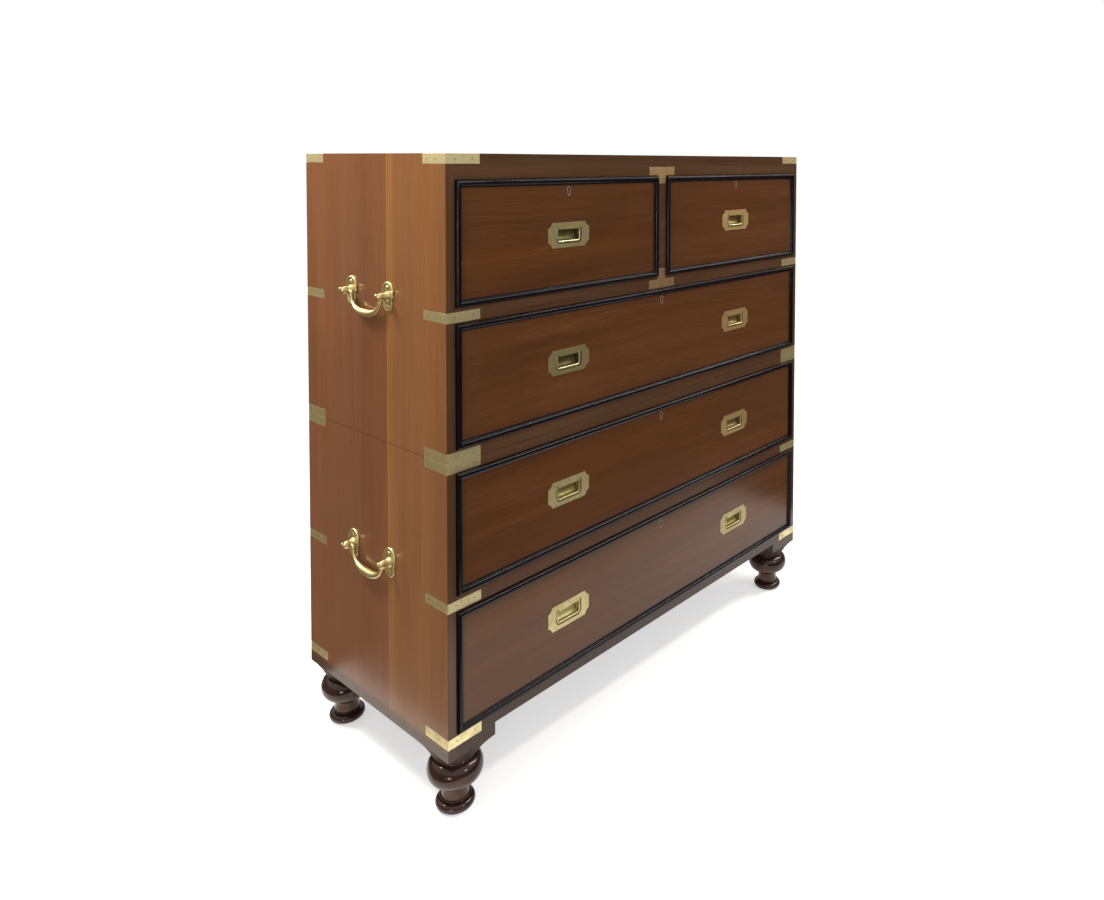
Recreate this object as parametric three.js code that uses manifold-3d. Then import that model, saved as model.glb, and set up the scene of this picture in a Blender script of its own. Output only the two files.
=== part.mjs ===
// Campaign chest: two stacked cases with five drawers, recessed brass pulls, inlaid corner straps,
// swan-neck carrying handles and four turned feet. Millimetres, +Z up, the drawers face -Y.
import * as THREE from 'three';
import { mergeVertices } from 'three/addons/utils/BufferGeometryUtils.js';
import Module from 'manifold-3d';

const wasm = await Module();
wasm.setup();

// Cases
const caseWidth = 1000;
const caseDepth = 422;
const sideThickness = 16;
const topThickness = 22;
const backThickness = 9;
const backBoardCount = 4;
const backGrooveWidth = 2;
const backGrooveDepth = 1.5;
const railDepth = 60;
const rearRailDepth = 40;
const runnerWidth = 50;
const dividerWidth = 24;
const guideThickness = 14;
const dustPanelThickness = 8;

// Heights, from the floor up
const footHeight = 109;
const blockHeight = 20;
const bottomBoardThickness = 18;
const lowerDrawerOpening = 192;
const lowerRailHeight = 25;
const middleDrawerOpening = 191;
const lowerTopThickness = 17;
const upperBottomThickness = 19;
const upperDrawerOpening = 193;
const upperRailHeight = 24;
const shortDrawerOpening = 196;
const topRailHeight = 18;

// Locating battens between the cases, and the stops behind the drawer fronts
const battenLength = 60;
const battenWidth = 30;
const battenHeight = 10;
const battenInset = 120;
const battenClearance = 0.6;
const stopLength = 40;
const stopWidth = 18;
const stopHeight = 5;
const stopInset = 90;

// Feet
const footBlockWidth = 90;
const padRadius = 30.5;
const padFlatRadius = 22;
const padHeight = 18;
const waistRadius = 20.5;
const bulgeRadius = 44;
const bulgeNeckRadius = 27;
const bulgeLow = 41;
const bulgeHigh = 84;
const grooveRadius = 31;
const grooveHeight = 86;
const collarRadius = 36;
const collarHeight = 89;
const footSides = 20;
const padSteps = 4;
const bulgeSteps = 6;

// Seats for the brass straps and T plates, which are let in flush
const strapThickness = 2;
const strapWidth = 16;
const strapFrontLeg = 63;
const strapSideLeg = 60;
const strapRise = 2.5;
const inlayGap = 0.3;
const plateBarLength = 75;
const plateBarWidth = 16;
const plateStemLength = 16;

// Drawers
const frontThickness = 20;
const frontGap = 0.8;
const beadWidth = 9;
const beadProud = 6;
const beadRebate = 6;
const beadShoulder = 1.5;
const beadSteps = 8;
const drawerBackRoom = 28;
const drawerSideThickness = 11;
const drawerBackThickness = 10;
const drawerBottomThickness = 6;
const drawerBottomRise = 8;
const drawerSideDrop = 10;
const drawerBackDrop = 14;
const drawerSideGap = 1.5;
const runnerGap = 0.4;
const lapDepth = 8;

// Keyhole escutcheons, let into the drawer fronts
const keyTopRadius = 3.5;
const keyFootRadius = 2.6;
const keyLength = 16.5;
const keyRing = 0.9;
const keyDepth = 3;
const keyDrop = 14.5;

// Recessed pulls
const pullWidth = 97;
const pullHeight = 43.5;
const pullScoop = 9.5;
const pullThickness = 2;
const cupWallX = 3;
const cupWallZ = 3;
const cupFloor = 1.2;
const recessDepth = 10.8;
const recessHalfWidth = 24.5;
const recessLow = -9;
const recessHigh = 9.5;
const recessRadius = 3;
const pullBailBand = 5;
const pullBailThickness = 3;
const pullBailHigh = 12.3;
const pullBailLow = -14;
const pullBailRadius = 8;
const pullBailProud = 0.3;
const pullBailBevel = 0.8;
const pullPivotHeight = 11;
const pullPinRadius = 1.1;
const pullPinLength = 1.9;
const pullPinClearance = 0.4;
const pullBailGap = 0.5;
const pullPocketTopGap = 1;
const pullPocketDepth = 3.6;

// Carrying handles
const upperHandleHeight = 812;
const lowerHandleHeight = 375.5;
const postSpacing = 111;
const handlePlateHeight = 49;
const handlePlateTopRadius = 16.5;
const handlePlateFootRadius = 13.6;
const handlePlateThickness = 3;
const postRootRadius = 9;
const postRadius = 7;
const postHoodLength = 15.5;
const postNeckRadius = 3;
const postBallRadius = 4;
const postLength = 25;
const handlePivotOut = 9;
const handlePinRadius = 2.2;
const handlePinClearance = 0.6;
const handlePinReach = 3;
const limbRadius = 2.3;
const limbSpacing = 86;
const elbowRadius = 5;
const bellyRadius = 6.5;
const bailDrop = 34;
const rodSides = 8;
const rodSteps = 26;
const bellyShares = [[0.94, 0.5], [0.7, 0.82], [0.36, 0.97]];

// Fineness of the round work, and one overrun for all cuts
const postSides = 12;
const pinSides = 10;
const cornerSteps = 3;
const scoopSteps = 4;
const overrun = 1;

// Levels worked out from the heights above
const caseBottom = footHeight + blockHeight;
const lowerDrawerFloor = caseBottom + bottomBoardThickness;
const lowerRailLow = lowerDrawerFloor + lowerDrawerOpening;
const middleDrawerFloor = lowerRailLow + lowerRailHeight;
const lowerTopLow = middleDrawerFloor + middleDrawerOpening;
const seam = lowerTopLow + lowerTopThickness;
const upperDrawerFloor = seam + upperBottomThickness;
const upperRailLow = upperDrawerFloor + upperDrawerOpening;
const shortDrawerFloor = upperRailLow + upperRailHeight;
const topRailLow = shortDrawerFloor + shortDrawerOpening;
const topBoardLow = topRailLow + topRailHeight;
const chestTop = topBoardLow + topThickness;
const halfWidth = caseWidth / 2;
const innerHalfWidth = halfWidth - sideThickness;
const innerDepth = caseDepth - backThickness;
const drawerLength = innerDepth - drawerBackRoom;
const halfDivider = dividerWidth / 2;
const shortOpeningWidth = innerHalfWidth - halfDivider;
const shortCentre = halfDivider + shortOpeningWidth / 2;

const finish = (color, roughness, metalness) =>
  new THREE.MeshStandardMaterial({ color, roughness, metalness });
const caseWood = finish(0x8a5533, 0.35, 0);
const frontWood = finish(0x5a331d, 0.3, 0);
const beadWood = finish(0x15131a, 0.2, 0);
const innerWood = finish(0xa98a5c, 0.7, 0);
const footWood = finish(0x3a2018, 0.2, 0);
const strapBrass = finish(0xb0a468, 0.45, 1);
const handleBrass = finish(0xd9b85c, 0.2, 1);

// Solids and meshes
function solidFrom(geometry) {
  const bare = geometry.clone();
  bare.deleteAttribute('normal');
  bare.deleteAttribute('uv');
  const merged = mergeVertices(bare);
  const corners = merged.index.array;
  const faces = [];
  for (let i = 0; i < corners.length; i += 3) {
    const [a, b, c] = corners.slice(i, i + 3);
    if (a !== b && b !== c && c !== a) faces.push(a, b, c);
  }
  return new wasm.Manifold(new wasm.Mesh({
    numProp: 3,
    vertProperties: Float32Array.from(merged.attributes.position.array),
    triVerts: Uint32Array.from(faces),
  }));
}

function geometryFrom(solid) {
  const { vertProperties, triVerts } = solid.getMesh();
  const geometry = new THREE.BufferGeometry();
  geometry.setAttribute('position', new THREE.BufferAttribute(vertProperties, 3));
  geometry.setIndex(new THREE.BufferAttribute(triVerts, 1));
  geometry.computeVertexNormals();
  return geometry;
}

const joined = (solids) => solids.reduce((whole, next) => whole.add(next));

function addPart(group, name, solid, material) {
  const mesh = new THREE.Mesh(geometryFrom(solid), material);
  mesh.name = name;
  group.add(mesh);
}

// A board between two corners, each span given as its two ends in any order. Its corners take
// these very ends, so that boards that share a face meet exactly.
function board(spanX, spanY, spanZ) {
  const spans = [spanX, spanY, spanZ];
  const lows = spans.map(([from, to]) => Math.min(from, to));
  const highs = spans.map(([from, to]) => Math.max(from, to));
  const box = new THREE.BoxGeometry(1, 1, 1);
  const corners = box.attributes.position.array;
  for (let i = 0; i < corners.length; i += 1) corners[i] = (corners[i] < 0 ? lows : highs)[i % 3];
  return solidFrom(box);
}

const centred = (centre, length) => [centre - length / 2, centre + length / 2];

// A shape drawn on the front (x across, y up), as a solid between two depths
function frontPrism(shape, near, far, bevel) {
  const geometry = new THREE.ExtrudeGeometry(shape, { depth: far - near, bevelEnabled: false, ...bevel });
  return solidFrom(geometry.rotateX(Math.PI / 2).translate(0, far, 0));
}

// A shape drawn on a side (x towards the back, y up), as a solid that stands out along x
function sidePrism(shape, near, far) {
  const turn = new THREE.Matrix4().makeBasis(
    new THREE.Vector3(0, 1, 0), new THREE.Vector3(0, 0, 1), new THREE.Vector3(1, 0, 0));
  const geometry = new THREE.ExtrudeGeometry(shape, { depth: far - near, bevelEnabled: false });
  return solidFrom(geometry.applyMatrix4(turn).translate(near, 0, 0));
}

// Turned work: a profile of radius against height, round the z axis
function turned(profile, sides) {
  const points = profile.map(([radius, height]) => new THREE.Vector2(radius, height));
  return solidFrom(new THREE.LatheGeometry(points, sides).rotateX(Math.PI / 2));
}

function pinAlongX(radius, from, to) {
  const profile = [[0, from], [radius, from], [radius, to], [0, to]];
  return turned(profile, pinSides).rotate([0, 90, 0]);
}

function pinAlongY(radius, from, to) {
  const profile = [[0, from], [radius, from], [radius, to], [0, to]];
  return turned(profile, pinSides).rotate([-90, 0, 0]);
}

// Half an ellipse that swells from one radius to another between two heights
function swell(innerRadius, outerRadius, low, high, steps) {
  return Array.from({ length: steps + 1 }, (_, i) => {
    const angle = Math.PI * i / steps;
    const height = (low + high) / 2 - (high - low) / 2 * Math.cos(angle);
    return [innerRadius + (outerRadius - innerRadius) * Math.sin(angle), height];
  });
}

function arcPoints(x, y, radius, fromAngle, toAngle, steps) {
  return Array.from({ length: steps + 1 }, (_, i) => {
    const angle = fromAngle + (toAngle - fromAngle) * i / steps;
    return new THREE.Vector2(x + radius * Math.cos(angle), y + radius * Math.sin(angle));
  });
}

const right = 0;
const up = Math.PI / 2;
const left = Math.PI;
const down = 1.5 * Math.PI;

// Seats for the brass corner straps: a leaf on the front or back, a leaf on the side and, on the
// uppermost ones, an L on the top
const cornerSigns = [[-1, 1], [1, 1], [-1, -1], [1, -1]];

function strapSeat([signX, signY], { low, high, capped }) {
  const deep = strapThickness + inlayGap;
  const across = (to) => [signX * (halfWidth + overrun), signX * (halfWidth - to)];
  const inward = (to) => (signY > 0 ? [-overrun, to] : [caseDepth - to, caseDepth + overrun]);
  const frontReach = across(strapFrontLeg + inlayGap);
  const sideReach = inward(strapSideLeg + inlayGap);
  const rise = [low - inlayGap, high + inlayGap];
  const leaves = [board(frontReach, inward(deep), rise), board(across(deep), sideReach, rise)];
  if (capped) {
    const cap = [high - deep, high + overrun];
    leaves.push(board(frontReach, inward(strapWidth + inlayGap), cap));
    leaves.push(board(across(strapWidth + inlayGap), sideReach, cap));
  }
  return joined(leaves);
}

const strapAt = (low) => ({ low, high: low + strapWidth });
const lowerStraps = [strapAt(caseBottom), strapAt(lowerRailLow + strapRise), strapAt(seam - strapWidth)];
const upperStraps = [
  strapAt(seam),
  strapAt(upperRailLow + strapRise),
  { ...strapAt(chestTop - strapWidth), capped: true },
];

const strapSeats = (levels) => joined(
  levels.flatMap((level) => cornerSigns.map((corner) => strapSeat(corner, level))));

// Seats for the T plates at the two ends of the divider: a bar on the rail, a stem on the divider
function dividerSeats() {
  const depths = [-overrun, strapThickness + inlayGap];
  const bar = centred(0, plateBarLength + 2 * inlayGap);
  const stem = centred(0, dividerWidth);
  const topBarLow = topBoardLow - plateBarWidth;
  const footBarLow = upperRailLow + strapRise;
  return joined([
    board(bar, depths, [topBarLow - inlayGap, topBoardLow]),
    board(stem, depths, [topBarLow - plateStemLength - inlayGap, topBarLow]),
    board(bar, depths, [footBarLow - inlayGap, footBarLow + plateBarWidth + inlayGap]),
    board(stem, depths, [footBarLow + plateBarWidth, shortDrawerFloor + plateStemLength + inlayGap]),
  ]);
}

// Case boards
const leftSpan = [-halfWidth, -innerHalfWidth];
const rightSpan = [innerHalfWidth, halfWidth];
const innerSpan = [-innerHalfWidth, innerHalfWidth];
const fullDepth = [0, caseDepth];

// Matched back boards, glued up into one panel, with a groove at each joint
function backPanel(low, high) {
  const width = 2 * innerHalfWidth / backBoardCount;
  const depths = [caseDepth - backGrooveDepth, caseDepth + overrun];
  const grooves = Array.from({ length: backBoardCount - 1 }, (_, i) => board(
    centred(-innerHalfWidth + (i + 1) * width, backGrooveWidth), depths, [low - overrun, high + overrun]));
  return board(innerSpan, [innerDepth, caseDepth], [low, high]).subtract(joined(grooves));
}

function mitredSide(sign) {
  const outline = new THREE.Shape([
    new THREE.Vector2(-halfWidth, seam),
    new THREE.Vector2(-innerHalfWidth, seam),
    new THREE.Vector2(-innerHalfWidth, topBoardLow),
    new THREE.Vector2(-halfWidth, chestTop),
  ]);
  const panel = frontPrism(outline, 0, caseDepth);
  return sign < 0 ? panel : panel.mirror([1, 0, 0]);
}

function mitredTop() {
  const outline = new THREE.Shape([
    new THREE.Vector2(-innerHalfWidth, topBoardLow),
    new THREE.Vector2(innerHalfWidth, topBoardLow),
    new THREE.Vector2(halfWidth, chestTop),
    new THREE.Vector2(-halfWidth, chestTop),
  ]);
  return frontPrism(outline, 0, caseDepth);
}

// A glued-up frame: a rail at the front, one at the rear, runners between them at the sides and,
// if asked, in the middle, and a thin dust panel that closes the frame
function railFrame(low, high, middleRunner) {
  const height = [low, high];
  const runnerDepths = [railDepth, innerDepth - rearRailDepth];
  const frame = [
    board(innerSpan, [0, railDepth], height),
    board(innerSpan, [innerDepth - rearRailDepth, innerDepth], height),
    board([-innerHalfWidth, -innerHalfWidth + runnerWidth], runnerDepths, height),
    board([innerHalfWidth - runnerWidth, innerHalfWidth], runnerDepths, height),
    board(innerSpan, runnerDepths, centred((low + high) / 2, dustPanelThickness)),
  ];
  if (middleRunner) frame.push(board(centred(0, 2 * runnerWidth), runnerDepths, height));
  return frame;
}

// Stops stand on a rail behind a drawer front, under the raised drawer bottom
function drawerStops(centre, openingWidth, floor) {
  const near = frontThickness + frontGap;
  return [-1, 1].map((sign) => board(
    centred(centre + sign * (openingWidth / 2 - stopInset), stopLength),
    [near, near + stopWidth],
    [floor, floor + stopHeight]));
}

const battenSpots = [-1, 1].flatMap((signX) => [battenInset, innerDepth - battenInset].map((y) =>
  ({ x: signX * (innerHalfWidth - battenInset), y })));

const battens = (grow) => battenSpots.map(({ x, y }) => board(
  centred(x, battenLength + 2 * grow),
  centred(y, battenWidth + 2 * grow),
  [seam - grow, seam + battenHeight + grow]));

function makeLowerCase() {
  const group = new THREE.Group();
  const recess = strapSeats(lowerStraps);
  const add = (name, solids, material) => addPart(group, name, joined(solids).subtract(recess), material);
  const stops = (floor) => drawerStops(0, 2 * innerHalfWidth, floor);
  add('lower_left_side', [board(leftSpan, fullDepth, [footHeight, seam])], caseWood);
  add('lower_right_side', [board(rightSpan, fullDepth, [footHeight, seam])], caseWood);
  const blockSpan = [innerHalfWidth, halfWidth - footBlockWidth];
  const blocks = cornerSigns.map(([signX, signY]) => board(
    blockSpan.map((x) => signX * x),
    signY > 0 ? [0, footBlockWidth] : [caseDepth - footBlockWidth, caseDepth],
    [footHeight, caseBottom]));
  const bottomBoard = board(innerSpan, [0, innerDepth], [caseBottom, lowerDrawerFloor]);
  add('lower_bottom_board', [bottomBoard, ...blocks, ...stops(lowerDrawerFloor)], caseWood);
  const frame = railFrame(lowerRailLow, middleDrawerFloor, false);
  add('lower_drawer_rail', [...frame, ...stops(middleDrawerFloor)], caseWood);
  const topBoard = board(innerSpan, [0, innerDepth], [lowerTopLow, seam]);
  add('lower_top_board', [topBoard, ...battens(0)], caseWood);
  add('lower_back', [backPanel(caseBottom, seam)], innerWood);
  return group;
}

function makeUpperCase() {
  const group = new THREE.Group();
  const recess = strapSeats(upperStraps).add(dividerSeats());
  const add = (name, solids, material) => addPart(group, name, joined(solids).subtract(recess), material);
  add('upper_left_side', [mitredSide(-1)], caseWood);
  add('upper_right_side', [mitredSide(1)], caseWood);
  add('upper_top_board', [mitredTop()], caseWood);
  add('upper_top_rail', railFrame(topRailLow, topBoardLow, true), caseWood);
  const bottomBoard = board(innerSpan, [0, innerDepth], [seam, upperDrawerFloor])
    .subtract(joined(battens(battenClearance)));
  const bottomStops = drawerStops(0, 2 * innerHalfWidth, upperDrawerFloor);
  add('upper_bottom_board', [bottomBoard, ...bottomStops], caseWood);
  const dividerHeight = [shortDrawerFloor, topRailLow];
  const stops = [-shortCentre, shortCentre]
    .flatMap((centre) => drawerStops(centre, shortOpeningWidth, shortDrawerFloor));
  add('upper_drawer_rail', [
    ...railFrame(upperRailLow, shortDrawerFloor, true),
    board(centred(0, dividerWidth), [0, railDepth], dividerHeight),
    board(centred(0, guideThickness), [railDepth, innerDepth], dividerHeight),
    ...stops,
  ], caseWood);
  add('upper_back', [backPanel(seam, topBoardLow)], innerWood);
  return group;
}

// Feet: a turned profile whose flared top is cut square to meet the block above
function makeFoot() {
  const flareRadius = footBlockWidth / Math.SQRT2 + overrun;
  const profile = [
    [0, 0],
    ...swell(padFlatRadius, padRadius, 0, padHeight, padSteps),
    [waistRadius, (padHeight + bulgeLow) / 2],
    ...swell(bulgeNeckRadius, bulgeRadius, bulgeLow, bulgeHigh, bulgeSteps),
    [grooveRadius, grooveHeight],
    [collarRadius, collarHeight],
    [flareRadius, footHeight],
    [0, footHeight],
  ];
  const square = centred(0, footBlockWidth);
  return turned(profile, footSides).intersect(board(square, square, [0, footHeight]));
}

function makeFeet() {
  const group = new THREE.Group();
  const foot = makeFoot();
  const names = ['foot_front_left', 'foot_front_right', 'foot_back_left', 'foot_back_right'];
  cornerSigns.forEach(([signX, signY], i) => {
    const spot = new THREE.Group();
    spot.position.x = signX * (halfWidth - footBlockWidth / 2);
    spot.position.y = signY > 0 ? footBlockWidth / 2 : caseDepth - footBlockWidth / 2;
    addPart(spot, names[i], foot, footWood);
    group.add(spot);
  });
  return group;
}

// Drawer beads: one section, lathed in four turns and opened out to the drawer's width and height
function makeBead(width, height) {
  const reach = 2 * beadWidth;
  const nose = arcPoints(beadWidth / 2, -beadShoulder, beadWidth / 2, 2 * Math.PI, left, beadSteps);
  const section = [
    new THREE.Vector2(0, beadRebate),
    new THREE.Vector2(beadWidth, beadRebate),
    ...nose,
    new THREE.Vector2(0, beadRebate),
  ];
  const ring = new THREE.LatheGeometry(
    section.map(({ x, y }) => new THREE.Vector2(reach - x, y)), 4, Math.PI / 4);
  const places = ring.attributes.position;
  for (let i = 0; i < places.count; i += 1) {
    const inset = reach - Math.hypot(places.getX(i), places.getZ(i));
    const x = Math.sign(places.getX(i)) * (width / 2 - inset);
    const z = height / 2 + Math.sign(places.getZ(i)) * (height / 2 - inset);
    places.setXYZ(i, x, places.getY(i), z);
  }
  return solidFrom(ring);
}

// Keyhole outline, its round head above a narrower foot
function keyholeShape(grow) {
  const head = keyTopRadius + grow;
  const foot = keyFootRadius + grow;
  return new THREE.Shape([
    ...arcPoints(0, keyLength - keyTopRadius, head, 0, left, cornerSteps + 1),
    ...arcPoints(0, keyFootRadius, foot, left, 2 * Math.PI, cornerSteps + 1),
  ]);
}

// Recessed pulls. Outlines are drawn about the centre of the plate.
function pullOutline(grow) {
  const x = pullWidth / 2;
  const y = pullHeight / 2;
  const radius = pullScoop - grow;
  const scoop = (signX, signY, from, to) => {
    const reach = radius / (radius - grow);
    return arcPoints(signX * (x + grow * reach), signY * (y + grow * reach), radius, from, to, scoopSteps);
  };
  return new THREE.Shape([
    ...scoop(1, 1, down, left),
    ...scoop(-1, 1, 2 * Math.PI, down),
    ...scoop(-1, -1, up, right),
    ...scoop(1, -1, left, up),
  ]);
}

function bailOutline(grow) {
  const outer = recessHalfWidth + pullBailBand + grow;
  const inner = recessHalfWidth - grow;
  const radius = pullBailRadius + grow;
  const low = pullBailLow - grow;
  const innerLow = pullBailLow + pullBailBand + grow;
  const innerRadius = pullBailRadius - pullBailBand;
  const high = pullBailHigh + (grow > 0 ? pullPocketTopGap : 0);
  return new THREE.Shape([
    new THREE.Vector2(-outer, high),
    ...arcPoints(-outer + radius, low + radius, radius, left, down, cornerSteps),
    ...arcPoints(outer - radius, low + radius, radius, down, 2 * Math.PI, cornerSteps),
    new THREE.Vector2(outer, high),
    new THREE.Vector2(inner, high),
    ...arcPoints(inner - innerRadius, innerLow + innerRadius, innerRadius, 2 * Math.PI, down, cornerSteps),
    ...arcPoints(-inner + innerRadius, innerLow + innerRadius, innerRadius, down, left, cornerSteps),
    new THREE.Vector2(-inner, high),
  ]);
}

function recessOutline() {
  const x = recessHalfWidth - recessRadius;
  return new THREE.Shape([
    ...arcPoints(x, recessHigh - recessRadius, recessRadius, 0, up, cornerSteps),
    ...arcPoints(-x, recessHigh - recessRadius, recessRadius, up, left, cornerSteps),
    ...arcPoints(-x, recessLow + recessRadius, recessRadius, left, down, cornerSteps),
    ...arcPoints(x, recessLow + recessRadius, recessRadius, down, 2 * Math.PI, cornerSteps),
  ]);
}

const pullPivotDepth = pullBailThickness / 2 - pullBailProud;
const pinFrom = recessHalfWidth + pullBailBand;
const cupHalfWidth = pinFrom + pullPinLength + cupWallX;

function pullBody(grow) {
  const near = grow > 0 ? -overrun : 0;
  const cup = board(
    [-cupHalfWidth - grow, cupHalfWidth + grow],
    [near, recessDepth + cupFloor + grow],
    [pullBailLow - cupWallZ - grow, pullBailHigh + cupWallZ + grow]);
  return frontPrism(pullOutline(grow), near, pullThickness + grow).add(cup);
}

function makePullPlate() {
  const pinHole = pullPinLength + pullBailGap;
  const holes = [-1, 1].map((sign) => pinAlongX(
    pullPinRadius + pullPinClearance, ...[pinFrom, pinFrom + pinHole].map((x) => sign * x).sort((a, b) => a - b)));
  return pullBody(0)
    .subtract(frontPrism(bailOutline(pullBailGap), -overrun, pullPocketDepth))
    .subtract(frontPrism(recessOutline(), -overrun, recessDepth))
    .subtract(joined(holes).translate([0, pullPivotDepth, pullPivotHeight]));
}

// The bail is made about its pivot, so that it turns there
function makePullBail() {
  const bevel = {
    bevelEnabled: true, bevelSegments: 1,
    bevelSize: pullBailBevel, bevelThickness: pullBailBevel, bevelOffset: -pullBailBevel,
  };
  const near = pullBailBevel - pullBailProud;
  const far = pullBailThickness - pullBailProud - pullBailBevel;
  const geometry = new THREE.ExtrudeGeometry(bailOutline(0), { depth: far - near, ...bevel });
  const band = solidFrom(geometry.rotateX(Math.PI / 2).translate(0, far, 0))
    .translate([0, -pullPivotDepth, -pullPivotHeight]);
  const inside = recessHalfWidth + pullBailBand / 2;
  const pins = [-1, 1].map((sign) => pinAlongX(
    pullPinRadius, ...[inside, pinFrom + pullPinLength].map((x) => sign * x).sort((a, b) => a - b)));
  return joined([band, ...pins]);
}

// Carrying handles: a post on a lobed plate, with the bail's pin hole on its inner side.
// The plate lies on the side of the case and the post stands out along +X.
function makeHandlePost(sign) {
  const topCentre = handlePlateHeight / 2 - handlePlateTopRadius;
  const footCentre = handlePlateFootRadius - handlePlateHeight / 2;
  const outline = new THREE.Shape([
    ...arcPoints(0, topCentre, handlePlateTopRadius, 0, left, 2 * cornerSteps),
    ...arcPoints(0, footCentre, handlePlateFootRadius, left, 2 * Math.PI, 2 * cornerSteps),
  ]);
  const plate = sidePrism(outline, 0, handlePlateThickness);
  const profile = [
    [0, handlePlateThickness / 2],
    [postRootRadius, handlePlateThickness / 2],
    [postRadius, handlePivotOut / 2],
    [postRadius, postHoodLength],
    [postNeckRadius, postLength - 2 * postBallRadius],
    ...swell(postNeckRadius, postBallRadius, postLength - 2 * postBallRadius, postLength, cornerSteps + 1).slice(1, -1),
    [0, postLength],
  ];
  const post = turned(profile, postSides).rotate([0, 90, 0]);
  const far = -sign * (postRadius + overrun);
  const hole = pinAlongY(handlePinRadius + handlePinClearance,
    ...[sign * (handlePinReach + inlayGap), far].sort((a, b) => a - b));
  return plate.add(post).subtract(hole.translate([handlePivotOut, 0, 0]));
}

// The bail is a round rod, thin at its ends and fat in the belly, bent along a curve about its pivot
function makeCarryingBail() {
  const pinEnd = postSpacing / 2 + handlePinReach;
  const limb = limbSpacing / 2;
  const quarter = [
    new THREE.Vector2(pinEnd, 0),
    new THREE.Vector2((pinEnd + limb + elbowRadius) / 2, 0),
    ...arcPoints(limb + elbowRadius, -elbowRadius, elbowRadius, up, left, 2),
    ...bellyShares.map(([spread, drop]) => new THREE.Vector2(spread * limb, -drop * bailDrop)),
  ];
  const half = quarter.map(({ x, y }) => new THREE.Vector3(0, x, y));
  const other = quarter.map(({ x, y }) => new THREE.Vector3(0, -x, y)).reverse();
  const path = new THREE.CatmullRomCurve3([...half, new THREE.Vector3(0, 0, -bailDrop), ...other]);
  const frames = path.computeFrenetFrames(rodSteps, false);
  const radiusAt = (share) => limbRadius + (bellyRadius - limbRadius) * Math.sin(Math.PI * share) ** 4;
  const rings = Array.from({ length: rodSteps + 1 }, (_, i) => new THREE.Vector2(radiusAt(i / rodSteps), i));
  const profile = [new THREE.Vector2(0, 0), ...rings, new THREE.Vector2(0, rodSteps)];
  const rod = new THREE.LatheGeometry(profile, rodSides);
  const places = rod.attributes.position;
  for (let i = 0; i < places.count; i += 1) {
    const step = Math.round(places.getY(i));
    const spot = path.getPointAt(step / rodSteps)
      .addScaledVector(frames.normals[step], places.getZ(i))
      .addScaledVector(frames.binormals[step], places.getX(i));
    places.setXYZ(i, spot.x, spot.y, spot.z);
  }
  return solidFrom(rod);
}

function makeHandles(prefix, height) {
  const group = new THREE.Group();
  const bail = makeCarryingBail();
  const spots = [['left', -1], ['right', 1]];
  spots.forEach(([side, signX]) => {
    [['front', -1], ['rear', 1]].forEach(([end, signY]) => {
      const seat = new THREE.Group();
      seat.position.set(signX * halfWidth, caseDepth / 2 + signY * postSpacing / 2, height);
      const post = makeHandlePost(signX * signY).rotate([0, 0, signX < 0 ? 180 : 0]);
      addPart(seat, `${prefix}_handle_post_${side}_${end}`, post, handleBrass);
      group.add(seat);
    });
    const pivot = new THREE.Group();
    pivot.position.set(signX * (halfWidth + handlePivotOut), caseDepth / 2, height);
    addPart(pivot, `${prefix}_handle_bail_${side}`, bail, handleBrass);
    group.add(pivot);
  });
  return group;
}

// A drawer stands in its opening, with its origin at the middle of the opening's floor
function makeDrawerFront(halfFront, top, laps, pulls, middle) {
  const edge = beadWidth + inlayGap;
  const front = board([-halfFront, halfFront], [beadRebate + inlayGap, frontThickness], [frontGap, top])
    .add(board([edge - halfFront, halfFront - edge], [0, frontThickness], [frontGap + edge, top - edge]));
  const pockets = pulls.map((x) => pullBody(inlayGap).translate([x, 0, middle]));
  const keyLow = top + frontGap - keyDrop - keyLength;
  const seat = frontPrism(keyholeShape(inlayGap), -overrun, keyDepth + inlayGap);
  const keyhole = frontPrism(keyholeShape(-keyRing), -overrun, frontThickness + overrun);
  return front.subtract(joined([...pockets, ...laps, seat.add(keyhole).translate([0, 0, keyLow])]));
}

function makeDrawerBox(halfBox, top) {
  const inner = halfBox - drawerSideThickness;
  const sideTop = top - drawerSideDrop;
  const bottomTop = drawerBottomRise + drawerBottomThickness;
  const sideDepths = [frontThickness - lapDepth + inlayGap, drawerLength];
  const backDepths = [drawerLength - drawerBackThickness, drawerLength];
  return joined([
    board([-halfBox, -inner], sideDepths, [runnerGap, sideTop]),
    board([inner, halfBox], sideDepths, [runnerGap, sideTop]),
    board([-inner, inner], backDepths, [bottomTop, top - drawerBackDrop]),
    board([-inner, inner], [frontThickness, drawerLength], [drawerBottomRise, bottomTop]),
  ]);
}

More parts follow.
